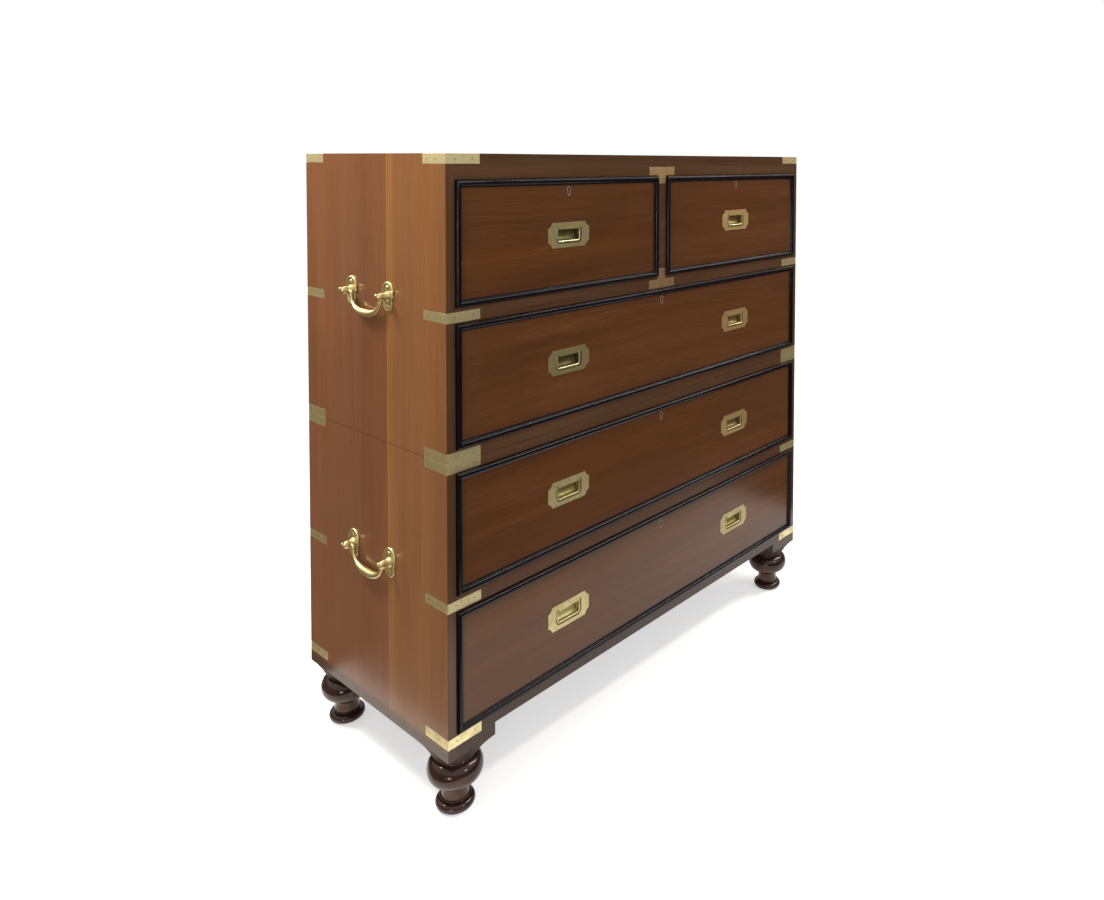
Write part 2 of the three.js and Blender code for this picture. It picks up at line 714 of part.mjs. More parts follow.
function makeDrawer(name, centre, floor, openingWidth, openingHeight, pulls) {
  const group = new THREE.Group();
  group.position.set(centre, 0, floor);
  const halfFront = openingWidth / 2 - frontGap;
  const halfBox = openingWidth / 2 - drawerSideGap;
  const top = openingHeight - frontGap;
  const middle = openingHeight / 2;
  const laps = [-1, 1].map((sign) => board(
    [sign * (halfBox - drawerSideThickness - inlayGap), sign * (halfFront + overrun)],
    [frontThickness - lapDepth, frontThickness + overrun],
    [-overrun, top - drawerSideDrop + inlayGap]));
  addPart(group, `${name}_front`, makeDrawerFront(halfFront, top, laps, pulls, middle), frontWood);
  addPart(group, `${name}_box`, makeDrawerBox(halfBox, top), innerWood);
  const bead = makeBead(2 * halfFront, top - frontGap).translate([0, 0, frontGap]);
  addPart(group, `${name}_bead`, bead, beadWood);
  pulls.forEach((x, i) => {
    const side = pulls.length > 1 ? ['_left', '_right'][i] : '';
    const seat = new THREE.Group();
    seat.position.set(x, 0, middle);
    addPart(seat, `${name}_pull_plate${side}`, makePullPlate(), strapBrass);
    const pivot = new THREE.Group();
    pivot.position.set(x, pullPivotDepth, middle + pullPivotHeight);
    addPart(pivot, `${name}_pull_bail${side}`, makePullBail(), handleBrass);
    group.add(seat, pivot);
  });
  return group;
}

function makeDrawers() {
  const group = new THREE.Group();
  const longWidth = 2 * innerHalfWidth;
  const pair = [-shortCentre, shortCentre];
  group.add(
    makeDrawer('short_left', -shortCentre, shortDrawerFloor, shortOpeningWidth, shortDrawerOpening, [0]),
    makeDrawer('short_right', shortCentre, shortDrawerFloor, shortOpeningWidth, shortDrawerOpening, [0]),
    makeDrawer('long_upper', 0, upperDrawerFloor, longWidth, upperDrawerOpening, pair),
    makeDrawer('long_middle', 0, middleDrawerFloor, longWidth, middleDrawerOpening, pair),
    makeDrawer('long_lower', 0, lowerDrawerFloor, longWidth, lowerDrawerOpening, pair),
  );
  return group;
}

const chest = new THREE.Group();
chest.position.y = (beadProud - caseDepth) / 2;
chest.add(
  makeFeet(),
  makeLowerCase(),
  makeUpperCase(),
  makeHandles('lower', lowerHandleHeight),
  makeHandles('upper', upperHandleHeight),
  makeDrawers(),
);

export default chest;
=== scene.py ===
# %% [markdown]
# # Dressing a campaign chest
# A campaign chest is two stacked cases of drawers, made to be parted and carried. The fixed frame
# already holds its boards, drawers, pulls, handles and feet at their real size and in their real
# place. This lesson gives each of them its finish, and models the fine work on top: turned feet,
# rounded beads, let-in brass straps, recessed pulls, swan-neck handles, locks and screws.

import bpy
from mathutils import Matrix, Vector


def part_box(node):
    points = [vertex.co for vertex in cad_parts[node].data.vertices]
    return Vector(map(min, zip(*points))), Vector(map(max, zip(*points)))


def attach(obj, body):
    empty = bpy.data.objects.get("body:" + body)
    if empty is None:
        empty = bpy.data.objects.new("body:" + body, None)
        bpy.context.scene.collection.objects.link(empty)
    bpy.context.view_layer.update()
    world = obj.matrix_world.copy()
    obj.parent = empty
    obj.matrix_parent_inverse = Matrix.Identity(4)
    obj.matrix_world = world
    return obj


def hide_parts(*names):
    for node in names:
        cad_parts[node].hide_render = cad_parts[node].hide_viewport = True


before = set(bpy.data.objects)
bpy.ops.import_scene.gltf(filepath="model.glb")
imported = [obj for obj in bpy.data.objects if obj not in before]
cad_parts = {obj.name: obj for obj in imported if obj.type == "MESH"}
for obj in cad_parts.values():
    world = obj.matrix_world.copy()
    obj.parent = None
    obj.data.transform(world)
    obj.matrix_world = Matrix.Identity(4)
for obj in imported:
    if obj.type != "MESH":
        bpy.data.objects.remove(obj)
print("The frame holds", len(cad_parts), "solids")

# %% Blender's own modules, and the box that the frame fills
import math

import bmesh
import bpy
from mathutils import Matrix, Vector

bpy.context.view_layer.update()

# %% [markdown]
# ## Where things are
# Every size below is in metres. The planes that the fine work sits on could be typed in as numbers,
# but they are read from the frame, so that a strap or a pull lands on the wood that carries it.

# %% Planes and levels read from the frame
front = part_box("upper_top_rail")[0].y
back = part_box("upper_back")[1].y
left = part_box("upper_left_side")[0].x
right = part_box("upper_right_side")[1].x
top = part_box("upper_top_board")[1].z
case_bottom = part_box("lower_back")[0].z
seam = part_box("lower_left_side")[1].z
lower_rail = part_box("lower_drawer_rail")[0].z
upper_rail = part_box("upper_drawer_rail")[0].z
top_rail_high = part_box("upper_top_rail")[1].z
print("The front plane is at", round(front, 4), "and the seam at", round(seam, 4))

# %% [markdown]
# ## The camera
# The photograph was taken from the height of the top, to the left of the chest, with an all but
# level camera whose picture was framed low. A camera that is tilted down would make the upright
# edges lean together. So it stays nearly level, and the lens shift does the framing.

# %% The camera
camera_place = Vector((-1.2502, -1.2682, 1.0347))
camera_yaw = math.radians(50.3)
camera_pitch = math.radians(-2.0)
camera_roll = math.radians(0.26)


def add_object(name, data):
    """Puts a new object into the scene."""
    made = bpy.data.objects.new(name, data)
    bpy.context.scene.collection.objects.link(made)
    return made


camera_data = bpy.data.cameras.new("camera")
camera_data.lens = 27.41
camera_data.sensor_width = 36
camera_data.shift_x = -0.1077
camera_data.shift_y = -0.2358
camera = add_object("camera", camera_data)
camera.matrix_world = (
    Matrix.Translation(camera_place)
    @ Matrix.Rotation(-camera_yaw, 4, "Z")
    @ Matrix.Rotation(math.pi / 2 + camera_pitch, 4, "X")
    @ Matrix.Rotation(camera_roll, 4, "Z")
)
bpy.context.scene.camera = camera
bpy.context.scene.view_settings.view_transform = "Standard"
print("The camera stands", round(camera_place.z, 3), "m high, with a lens of", camera_data.lens, "mm")

# %% [markdown]
# ## Writing a finish
# A finish is a tree of nodes. Wired one call at a time it takes pages, so three small classes keep
# it readable. A `Wire` is one output socket, and sums on wires add the Math nodes, so `1 - mask` is
# written as it is thought. A `Tree` makes every other node through one method: the kind of node,
# its settings, and what its sockets get. A `Finish` is the tree of one material.

# %% Wires
class Wire:
    """One output socket of a node. A sum on wires adds the Math node for it."""

    def __init__(self, tree, socket):
        self.tree = tree
        self.socket = socket

    def math(self, operation, first, second):
        return self.tree.node("Math", {"operation": operation}, {0: first, 1: second})

    def __add__(self, other):
        return self.math("ADD", self, other)

    def __radd__(self, other):
        return self.math("ADD", other, self)

    def __sub__(self, other):
        return self.math("SUBTRACT", self, other)

    def __rsub__(self, other):
        return self.math("SUBTRACT", other, self)

    def __mul__(self, other):
        return self.math("MULTIPLY", self, other)

    def __rmul__(self, other):
        return self.math("MULTIPLY", other, self)

    def __gt__(self, other):
        return self.math("GREATER_THAN", self, other)

    def __lt__(self, other):
        return self.math("LESS_THAN", self, other)


# %% A tree of nodes
class Tree:
    """The nodes of a material or of the room, all made by one method."""

    def __init__(self, node_tree):
        self.node_tree = node_tree

    def node(self, kind, settings, inputs, output=0):
        """Adds a node. Its settings come first, and then what its sockets get."""
        made = self.node_tree.nodes.new("ShaderNode" + kind)
        for name, value in settings.items():
            if name == "stops":
                self.set_stops(made.color_ramp, value)
            else:
                setattr(made, name, value)
        for socket, value in inputs.items():
            self.feed(made.inputs[socket], value)
        return Wire(self, made.outputs[output])

    def set_stops(self, ramp, stops):
        while len(ramp.elements) < len(stops):
            ramp.elements.new(1)
        for element, (position, colour) in zip(ramp.elements, stops):
            element.position = position
            element.color = colour

    def feed(self, socket, value):
        """Links a wire to a socket, or writes a value that holds all over on it."""
        if isinstance(value, Wire):
            self.node_tree.links.new(value.socket, socket)
        else:
            socket.default_value = value

    def mix(self, share, first, second, how="MIX"):
        """Mixes two colours. The node keeps its colour sockets at 6 and 7, and its colour result at 2."""
        settings = {"data_type": "RGBA", "blend_type": how}
        return self.node("Mix", settings, {0: share, 6: first, 7: second}, 2)


# %% A finish
def socket_named(word):
    """The name of a shader's socket, from the word that stands for it in Python."""
    return word.replace("_", " ").title().replace("Ior", "IOR")


class Finish(Tree):
    """A material whose nodes are added one at a time, round its Principled shader."""

    def __init__(self, name, **constants):
        self.material = bpy.data.materials.new(name)
        self.material.use_nodes = True
        super().__init__(self.material.node_tree)
        self.shader = self.node_tree.nodes["Principled BSDF"]
        self.shade(**constants)

    def shade(self, **values):
        """Gives sockets of the shader their wires, or values that hold all over."""
        for socket, value in values.items():
            self.feed(self.shader.inputs[socket_named(socket)], value)

    def cover(self, share, colour, how="MIX"):
        """Lays a colour over the finish's own, by a share from 0 to 1."""
        self.colour = self.mix(share, self.colour, colour, how)
        self.shade(base_color=self.colour)

    def place(self):
        """The place of a point in the frame, as one wire and as three."""
        whole = self.node("TexCoord", {}, {}, "Object")
        apart = [self.node("SeparateXYZ", {}, {0: whole}, axis) for axis in "XYZ"]
        return whole, apart

    def vector(self, x, y, z):
        return self.node("CombineXYZ", {}, {0: x, 1: y, 2: z})

    def noise(self, vector, scale, detail=2.0, roughness=0.5):
        inputs = {"Vector": vector, "Scale": scale, "Detail": detail, "Roughness": roughness}
        return self.node("TexNoise", {}, inputs)

    def ramp(self, value, *stops):
        return self.node("ValToRGB", {"stops": stops}, {0: value})

    def mask(self, value, low, high):
        """A value spread from 0 at low to 1 at high."""
        inputs = {"Value": value, "From Min": low, "From Max": high}
        return self.node("MapRange", {}, inputs)

    def bump(self, height, strength, distance):
        return self.node("Bump", {}, {"Height": height, "Strength": strength, "Distance": distance})


# %% Colours
def tone(red, green, blue):
    """A colour as a screen shows it, 0 to 255, turned into the light values that a shader takes."""
    channels = [channel / 255 for channel in (red, green, blue)]
    return tuple(c / 12.92 if c <= 0.04045 else ((c + 0.055) / 1.055) ** 2.4 for c in channels) + (1,)


def grey(level):
    return (level, level, level, 1)


print("A middle grey on the screen is a light value of", round(tone(128, 128, 128)[0], 3))

# %% [markdown]
# ## Wood
# Polished teak shows three things at arm's length: broad stripes a finger wide, fine lines within
# them, and short dark pores, all drawn out along the grain. A photograph of wood would give that on
# one face only. Noise gives it all through, so that a front and its edge agree. All three are the
# same noise, stretched by a large share along one axis. Where a panel is glued up from boards, each
# board takes its own piece of the noise and its own shade, which is what makes the joint show.

# %% How wood is drawn
honey_tone = tone(196, 176, 96)
amber = (1.0, 0.95, 0.84, 1)
varnish_shine = 0.42
tone_places = (0.36, 0.5, 0.64)
first_board = 0.37
board_step = 5.3
sway_size = 0.018
pore_strength = 0.25


def wood(name, grain, tones, gloss, boards=(), board_axis=1, stripe=42, honey=0.0, flecks=0.0):
    """Wood with its grain along one axis of the frame: 0 is across the front, 1 is in depth, 2 is up."""
    dark, _, pale = tones
    made = Finish(name, roughness=gloss, specular_ior_level=varnish_shine, specular_tint=amber)
    whole, axes = made.place()
    board = first_board
    for edge in boards:
        board = board + (axes[board_axis] > edge)
    shift = board * board_step
    sway = made.noise(whole, 1.7, 1.0) * sway_size
    along = axes[grain] + shift
    across = [axis + sway + shift for i, axis in enumerate(axes) if i != grain]

    def streaks(stretch, scale, detail, rough):
        """Noise with one scale along the grain, the stretch, and a larger one across it."""
        spread = [part * scale for part in across]
        spread.insert(grain, along * stretch)
        return made.noise(made.vector(*spread), 1.0, detail, rough)

    loud = made.mask(made.noise(whole, 2.6, 2.0), 0.4, 0.6) * 0.9 + 0.35
    stripes = (streaks(0.8, stripe, 4.0, 0.55) - 0.5) * loud + 0.5
    lines = streaks(4.0, 330.0, 2.0, 0.5)
    pore = made.mask(streaks(34.0, 1500.0, 1.0, 0.5), 0.62, 0.72)
    cloud = made.noise(whole, 3.1, 2.0)
    shade = made.node("TexWhiteNoise", {"noise_dimensions": "1D"}, {"W": board})
    figure = stripes * 0.62 + lines * 0.2 + cloud * 0.18 + (shade - 0.5) * 0.07
    made.colour = made.ramp(figure, *zip(tone_places, tones))
    drift = made.mask(streaks(0.7, 11.0, 2.0, 0.6), 0.42, 0.62)
    made.cover(drift * honey, honey_tone, "SOFT_LIGHT")
    made.cover(pore * pore_strength, dark, "MULTIPLY")
    fleck = made.mask(streaks(13.0, 520.0, 2.0, 0.5), 0.6, 0.72)
    made.cover(fleck * loud * flecks, pale, "SCREEN")
    made.axes = axes
    made.figure = figure
    made.shade(
        roughness=gloss + (stripes - 0.5) * 0.1 + pore * 0.06,
        normal=made.bump(lines * 0.4 + stripes * 0.4 - pore * 0.5, 0.12, 0.0005),
    )
    return made


seam_dirt = tone(22, 14, 9)


def part_line(made, axis, place, strength):
    """Darkens the hairline where two boards part, at a place on one axis."""
    away = made.axes[axis] - place
    hairline = made.mask(away * away, 1.0e-6, 1.0e-7)
    made.cover(hairline * strength, seam_dirt)


# %% The case's sides, glued up from three boards
# The front's tones are darker than the side's: partly the wood's own tone, partly painted shade on the
# front and on the rails between the beads.
shaded_front_tones = (tone(61, 38, 23), tone(74, 48, 30), tone(87, 58, 37))
side_tones = (tone(96, 59, 39), tone(107, 68, 45), tone(119, 78, 51))
side_board_edges = (front + 0.163, front + 0.335)
front_edge = side_board_edges[0]
case_side = wood("case side wood", 2, side_tones, 0.2, side_board_edges, stripe=15, honey=0.3)

# %% The front board of a side is paler, with yellow lines crowding towards its glued edge
side_depth = case_side.axes[1]
side_height = case_side.axes[2]
paler = (1.16, 1.2, 1.02, 1)
yellow = tone(158, 118, 58)
on_front_board = case_side.mask(side_depth, front_edge + 0.0006, front_edge - 0.0006)
yellow_lines = case_side.noise(case_side.vector(4.0, side_depth * 460, side_height * 0.6), 1.0, 3.0)
crowd_from = front_edge - 0.045
crowd = case_side.mask(side_depth, crowd_from, front_edge)
yellow_share = case_side.mask(yellow_lines, 0.49, 0.59) * crowd * on_front_board * 0.42
case_side.cover(on_front_board, paler, "MULTIPLY")
case_side.cover(yellow_share, yellow)
print("The yellow lines lie within", round(front_edge - crowd_from, 3), "m of the glued edge")

# %% Its front edge takes the front's darker tones, partly painted shade, and its foot the dark base
base_stain = tone(58, 43, 32)
shaded_edge_colour = case_side.ramp(case_side.figure, *zip(tone_places, shaded_front_tones))
on_edge = case_side.mask(side_depth, front + 0.0009, front + 0.0003)
case_side.cover(on_edge, shaded_edge_colour)
on_base = case_side.mask(side_height, case_bottom + 0.005, case_bottom - 0.007)
case_side.cover(on_base * 0.85, base_stain)
part_line(case_side, 2, seam, 0.4)
part_line(case_side, 1, front_edge, 0.25)
case_side_wood = case_side.material
print("The side's boards part at", [round(edge, 3) for edge in side_board_edges])

# %% The case's front and its foot blocks
block_stain = tone(56, 36, 28)
case_front = wood("case front wood", 0, shaded_front_tones, 0.22)
on_block = case_front.mask(case_front.axes[2], case_bottom + 0.019, case_bottom + 0.018)
case_front.cover(on_block, block_stain)
part_line(case_front, 2, seam, 0.7)
case_front_wood = case_front.material

# %% Drawer fronts, darkened beside the bead by old wax and by painted shade
# The drawer fronts' tones are darker than the side's too: partly their own tone, partly painted shade on
# the front.
shaded_drawer_tones = (tone(70, 41, 18), tone(82, 47, 22), tone(94, 56, 27))
wax_and_shade_tone = tone(44, 24, 18)
wax_and_shade_reach = 0.022
drawer_front = wood("drawer front wood", 0, shaded_drawer_tones, 0.2, stripe=28, honey=0.3, flecks=0.3)
# The Ambient Occlusion darkens the front beside the proud bead: partly old wax, partly painted shade from
# the bead.
open_air = drawer_front.node("AmbientOcclusion", {"samples": 12}, {"Distance": wax_and_shade_reach}, "AO")
drawer_front.cover(drawer_front.mask(open_air, 1.0, 0.55) * 0.5, wax_and_shade_tone)
drawer_front_wood = drawer_front.material

# %% Pale woods inside and at the back
inner_tones = (tone(140, 104, 66), tone(168, 129, 86), tone(188, 150, 106))
back_tones = (tone(98, 68, 44), tone(124, 90, 60), tone(146, 110, 76))
back_board_edges = (-0.242, 0.0, 0.242)
inner_wood = wood("inner wood", 1, inner_tones, 0.62, stripe=24).material
back_boards = wood("back board wood", 2, back_tones, 0.6, back_board_edges, 0, stripe=28)
part_line(back_boards, 2, seam, 0.7)
back_wood = back_boards.material
print("The woods are", [m.name for m in bpy.data.materials if " wood" in m.name])

# %% [markdown]
# ## Ebonised beads and turned feet
# The bead round each drawer front is stained black and polished, so nearly all that shows is its
# gloss. The feet are a dark red-brown, darker on the pad, where the stain lies thicker, and over the
# upper bulge, partly thicker stain and partly painted shade under the case, than on the waist. The
# square above each foot was only oiled. Black paint would be one flat colour. Here a little grain
# runs under each polish, and rubbing makes the gloss uneven.

# %% Black polish and dull polish
def grain_and_rub(made):
    """Upright grain for small turned or moulded work, and the unevenness that rubbing leaves."""
    whole, axes = made.place()
    grain = made.noise(made.vector(axes[0] * 60, axes[1] * 60, axes[2] * 9), 1.0, 3.0, 0.6)
    rub = made.noise(whole, 95.0, 3.0) - 0.5
    return grain, rub, axes[2]


grain_places = (0.35, 0.68)
polish_relief_depth = 0.0005


def polish(name, dark, pale, gloss, shine, relief):
    made = Finish(name, roughness=gloss, specular_ior_level=shine)
    grain, rub, _ = grain_and_rub(made)
    made.shade(
        base_color=made.ramp(grain, *zip(grain_places, (dark, pale))),
        roughness=gloss + rub * gloss * 0.5,
        normal=made.bump(grain, relief, polish_relief_depth),
    )
    return made.material


bead_polish = polish("bead polish", tone(11, 9, 13), tone(20, 16, 20), 0.13, 0.17, 0.002)
foot_square_polish = polish("foot square polish", tone(54, 36, 29), tone(74, 51, 41), 0.55, 0.1, 0.03)

# %% Foot polish
stain_and_shade_tones = (tone(34, 20, 19), tone(56, 33, 29))
thin_tones = (tone(56, 32, 20), tone(82, 47, 29))
foot_gloss = 0.16
foot_shine_tint = (1.0, 0.84, 0.74, 1)


def turned_polish():
    """Dark on the pad, where the stain lies thick, and over the upper bulge, partly stain and partly
    painted shade under the case; lighter on the waist between them.
    """
    made = Finish("foot polish", specular_ior_level=0.46, specular_tint=foot_shine_tint)
    grain, rub, height = grain_and_rub(made)
    stain_and_shade = made.ramp(grain, *zip(grain_places, stain_and_shade_tones))
    thin = made.ramp(grain, *zip(grain_places, thin_tones))
    above_pad = made.mask(height, 0.0175, 0.021)
    # Over the upper bulge the darker tones are partly stain and partly painted shade under the case.
    below_bulge = made.mask(height, 0.066, 0.05)
    made.shade(
        base_color=made.mix(above_pad * below_bulge, stain_and_shade, thin),
        roughness=foot_gloss + rub * 0.06,
        normal=made.bump(grain, 0.03, polish_relief_depth),
    )
    return made.material


foot_polish = turned_polish()
print("The polishes are", [m.name for m in bpy.data.materials if "polish" in m.name])

# %% [markdown]
# ## Brass
# The straps and pull plates are flat castings that have dulled to an olive satin, while the handles
# and bails are rubbed bright by hands. Each could have a recipe of its own, but all are one metal:
# what differs is how rough it is, how much tarnish lies on it, and on some copies painted light. The
# tarnish gathers in corners, which the Ambient Occlusion node finds. The pulls differ in tone, so
# there are several: the warm ones paint the warm light on right-hand pulls, and each cup's brass is
# darker than its plate's to paint the shade in the cup. The T plates' darker brass paints a dim
# reflection.

# %% A brass finish
corner_grime = tone(66, 54, 26)
grime_reach = 0.004


def brass(name, bright, tarnish, gloss, dirt, scratch=0.3):
    made = Finish(name, metallic=1.0)
    whole, axes = made.place()
    blotch = made.noise(whole, 55.0, 4.0, 0.62)
    fine = made.noise(whole, 420.0, 3.0, 0.6)
    rubbed = made.noise(made.vector(axes[0] * 90, axes[1] * 90, axes[2] * 1700), 1.0, 2.0)
    probe = {"samples": 8, "inside": False}
    corner = made.node("AmbientOcclusion", probe, {"Distance": grime_reach}, "AO")
    grime = made.mask(corner, 0.95, 0.35)
    patch = made.mask(blotch * 0.7 + fine * 0.3, 0.42, 0.66)
    colour = made.mix(patch * dirt, bright, tarnish)
    colour = made.mix(grime * 0.75, colour, corner_grime)
    made.shade(
        base_color=colour,
        roughness=gloss + patch * 0.1 + (rubbed - 0.5) * 0.12 + grime * 0.15,
        normal=made.bump(fine * 0.3 + rubbed * 0.3, scratch, 0.0002),
    )
    return made.material


# %% The brasses
strap_brass = brass("strap brass", tone(240, 226, 176), tone(196, 184, 128), 0.44, 0.7)
# The T plates' brass is a darker, pinker copy of the straps', which paints the dim reflection they show.
plate_brass_with_dim_reflection = brass("T plate brass", tone(204, 170, 126), tone(168, 140, 94), 0.46, 0.8)
dull_brass = brass("dull pull brass", tone(206, 192, 142), tone(170, 158, 106), 0.42, 0.6)
# The warm brass is a brighter, warmer copy that paints the warm light which right-hand pulls catch.
warm_lit_brass = brass("warm pull brass", tone(250, 218, 154), tone(220, 186, 118), 0.42, 0.5)
low_brass = brass("low pull brass", tone(224, 210, 156), tone(184, 170, 114), 0.44, 0.7)
# The cup brasses are darker than their plates' brass, which paints the shade inside the cups.
cup_shade_brass = brass("cup brass", tone(128, 120, 80), tone(98, 90, 56), 0.58, 0.8)
warm_lit_cup_shade_brass = brass("warm cup brass", tone(164, 144, 92), tone(132, 112, 66), 0.58, 0.8)
pale_cup_shade_brass = brass("pale cup brass", tone(176, 164, 106), tone(142, 130, 76), 0.58, 0.8)
bright_cup_shade_brass = brass("bright cup brass", tone(210, 202, 146), tone(176, 166, 110), 0.58, 0.6)
handle_brass = brass("handle brass", tone(232, 216, 160), tone(200, 184, 122), 0.38, 0.5, 0.15)
bail_brass = brass("bail brass", tone(226, 214, 166), tone(186, 172, 118), 0.32, 0.5, 0.15)
print("The brasses are", [m.name for m in bpy.data.materials if "brass" in m.name])

# %% Small finishes
def plain(name, colour, gloss, metallic=0.0):
    """A finish with one colour, broken a little by noise."""
    made = Finish(name, roughness=gloss, metallic=metallic)
    whole, _ = made.place()
    made.shade(base_color=made.mix(made.noise(whole, 160.0, 3.0) * 0.6, colour, grey(0.002)))
    return made.material


key_brass = plain("keyhole brass", tone(196, 164, 140), 0.5, 0.6)
keyhole_painted_shade = plain("keyhole painted shade", tone(20, 14, 10), 0.8)
slot_dirt = plain("screw slot dirt", tone(92, 80, 50), 0.7)
lock_steel = plain("lock steel", tone(120, 112, 98), 0.42, 1.0)

# %% [markdown]
# ## Studio
# The chest stands on a plain pale floor in an even white room. White could come from more light,
# but that would bleach the wood. So the floor and the room show white to the camera, to gloss and
# to glass alone, through the Light Path node, and the floor still takes the chest's shadow.

# %% The room
room_light = 0.55


def seen(tree):
    """One where a camera, glossy or transmission ray asks, and zero where light is gathered."""
    share = tree.node("LightPath", {}, {}, "Is Camera Ray")
    for ray in ("Is Glossy Ray", "Is Transmission Ray"):
        share = share.math("MAXIMUM", share, tree.node("LightPath", {}, {}, ray))
    return share


world = bpy.data.worlds.new("white room")
world.use_nodes = True
bpy.context.scene.world = world
room = Tree(world.node_tree)
sky = world.node_tree.nodes["Background"]
room.feed(sky.inputs["Color"], grey(1.0))
room.feed(sky.inputs["Strength"], room_light + seen(room) * (1 - room_light))
print("The room lights at", room_light, "and shows at 1")

# %% The floor
floor_reach = 14.0
floor_shade = 0.93
floor_glow = 0.5
square = ((-1, -1), (1, -1), (1, 1), (-1, 1))


def studio_sheet(name, points, faces):
    """A sheet that belongs to the studio and not to the chest."""
    mesh = bpy.data.meshes.new(name)
    mesh.from_pydata(points, [], faces)
    made = add_object(name, mesh)
    return made


floor = studio_sheet("floor", [(x * floor_reach, y * floor_reach, 0.0) for x, y in square], [(0, 1, 2, 3)])
floor_finish = Finish("pale floor", base_color=grey(floor_shade), roughness=0.9, specular_ior_level=0.1)
floor_finish.shade(
    emission_color=floor_finish.mix(seen(floor_finish), grey(0.0), grey(floor_glow)),
    emission_strength=1.0,
)
floor.data.materials.append(floor_finish.material)

# %% [markdown]
# ## What the gloss sees
# Polished wood mirrors whatever stands before it, and a white room would turn it grey. A
# photographer hangs dark cloth out of the picture to keep it deep in colour. Here a dark cloth lies
# round the strip of floor that the chest stands on, and a low dark skirt rings the room. The gloss
# alone sees them, so they take no light from the chest and throw no shadow.

# %% The dark cloth and the skirt
lit_left = -0.63
lit_right = 0.88
lit_front = -0.69
lit_back = 0.32
cloth_height = 0.001
skirt_reach = 4.4
skirt_low = 0.002
skirt_high = 1.8
skirt_sides = 48


def band(count):
    """Faces between two rings of points, of which the second follows the first."""
    return [(i, (i + 1) % count, count + (i + 1) % count, count + i) for i in range(count)]


hole = ((lit_left, lit_front), (lit_right, lit_front), (lit_right, lit_back), (lit_left, lit_back))
rim = [(x * skirt_reach, y * skirt_reach) for x, y in square]
cloth = studio_sheet("dark_cloth", [(x, y, cloth_height) for x, y in (*rim, *hole)], band(4))
skirt_turns = [2 * math.pi * i / skirt_sides for i in range(skirt_sides)]
skirt_points = [(skirt_reach * math.cos(turn), skirt_reach * math.sin(turn), height)
                for height in (skirt_low, skirt_high) for turn in skirt_turns]
skirt = studio_sheet("dark_skirt", skirt_points, band(skirt_sides))


def two_tone(name, for_front, for_side):
    """A cloth that is darker on the front's side of the chest than on the side panel's."""
    made = Finish(name, roughness=0.9)
    _, axes = made.place()
    made.shade(base_color=made.mix(made.mask(axes[1] - axes[0], -0.3, 0.3), for_front, for_side))
    return made.material


cloth.data.materials.append(two_tone("dark cloth", tone(76, 67, 57), tone(104, 88, 70)))
skirt.data.materials.append(two_tone("skirt cloth", tone(106, 96, 86), tone(146, 132, 114)))
for hidden in (cloth, skirt):
    hidden.visible_camera = False
    hidden.visible_diffuse = False
    hidden.visible_shadow = False
    hidden.visible_transmission = False
print("The strip of bare floor is", round(lit_right - lit_left, 2), "m wide")

# %% [markdown]
# ## Lamps
# A sun would give hard edges, and a lit room alone would look flat. Four soft lamps shape the
# chest. One on the left makes the side panel the light one, one in front and a low one draw the two
# sparks on each turned foot, and a long strip on the right wakes the brass on the front.

# %% The lamps
def lamp(name, place, aim, width, height, watts, colour):
    data = bpy.data.lights.new(name, "AREA")
    data.shape = "RECTANGLE"
    data.size = width
    data.size_y = height
    data.energy = watts
    data.color = colour
    made = add_object(name, data)
    made.location = place
    made.rotation_mode = "QUATERNION"
    made.rotation_quaternion = (Vector(aim) - Vector(place)).to_track_quat("-Z", "Y")
    made.visible_camera = False


lamp("left lamp", (-1.02, 0.62, 1.8), (-0.5, 0, 0.9), 0.45, 0.45, 29, (1.0, 0.95, 0.87))
lamp("front lamp", (0.3, -3.7, 2.65), (0, 0, 0.6), 0.48, 0.48, 18, (0.95, 0.96, 1.0))
lamp("low lamp", (-3.8, -2.2, 0.45), (-0.4, 0, 0.3), 0.62, 0.62, 30, (0.97, 0.97, 1.0))
lamp("strip lamp", (2.3, -1.45, 2.55), (2.3, -0.2, 0.9), 2.4, 0.24, 56, (1.0, 0.94, 0.86))
print("The lamps are", [light.name for light in bpy.data.lights])

# %% [markdown]
# ## Making a mesh
# Each fine piece is gathered as points and faces in a `Shape`, mostly by skinning a row of rings,
# and then becomes one object that rides on its body. A curve with a bevel could draw some of them,
# but rings give square, round and changing sections in one way. Pieces on a face of the chest are
# drawn flat, as across, up and out, and a matrix, the piece's seat, puts them on that face.

# %% Shapes
class Shape:
    """Points and faces, gathered until they become a piece. Each face remembers its finish.
    What adds to a shape hands the shape back, so that more can follow in the same line."""

    def __init__(self):
        self.points = []
        self.faces = []
        self.finishes = []

    def add_face(self, corners, finish):
        self.faces.append(corners)
        self.finishes.append(finish)

    def skin(self, rings, seat=None, closed=False, finish=0):
        """Joins rings of equally many points. Open ends get a cap."""
        start = len(self.points)
        count = len(rings[0])
        for ring in rings:
            points = [Vector(point) for point in ring]
            self.points += [seat @ point if seat else point for point in points]
        for i in range(len(rings) if closed else len(rings) - 1):
            here = start + i * count
            there = start + (i + 1) % len(rings) * count
            for j in range(count):
                k = (j + 1) % count
                self.add_face((here + j, here + k, there + k, there + j), finish)
        if not closed:
            self.add_face(tuple(start + j for j in reversed(range(count))), finish)
            last = start + (len(rings) - 1) * count
            self.add_face(tuple(last + j for j in range(count)), finish)
        return self

    def slab(self, outline, low, high, seat=None, finish=0):
        """An outline, drawn across and up, made solid between two distances out."""
        rings = [[(across, up, out) for across, up in outline] for out in (low, high)]
        return self.skin(rings, seat, finish=finish)

    def block(self, low, high, seat=None, finish=0):
        corners = ((low[0], low[1]), (high[0], low[1]), (high[0], high[1]), (low[0], high[1]))
        return self.slab(corners, low[2], high[2], seat, finish)


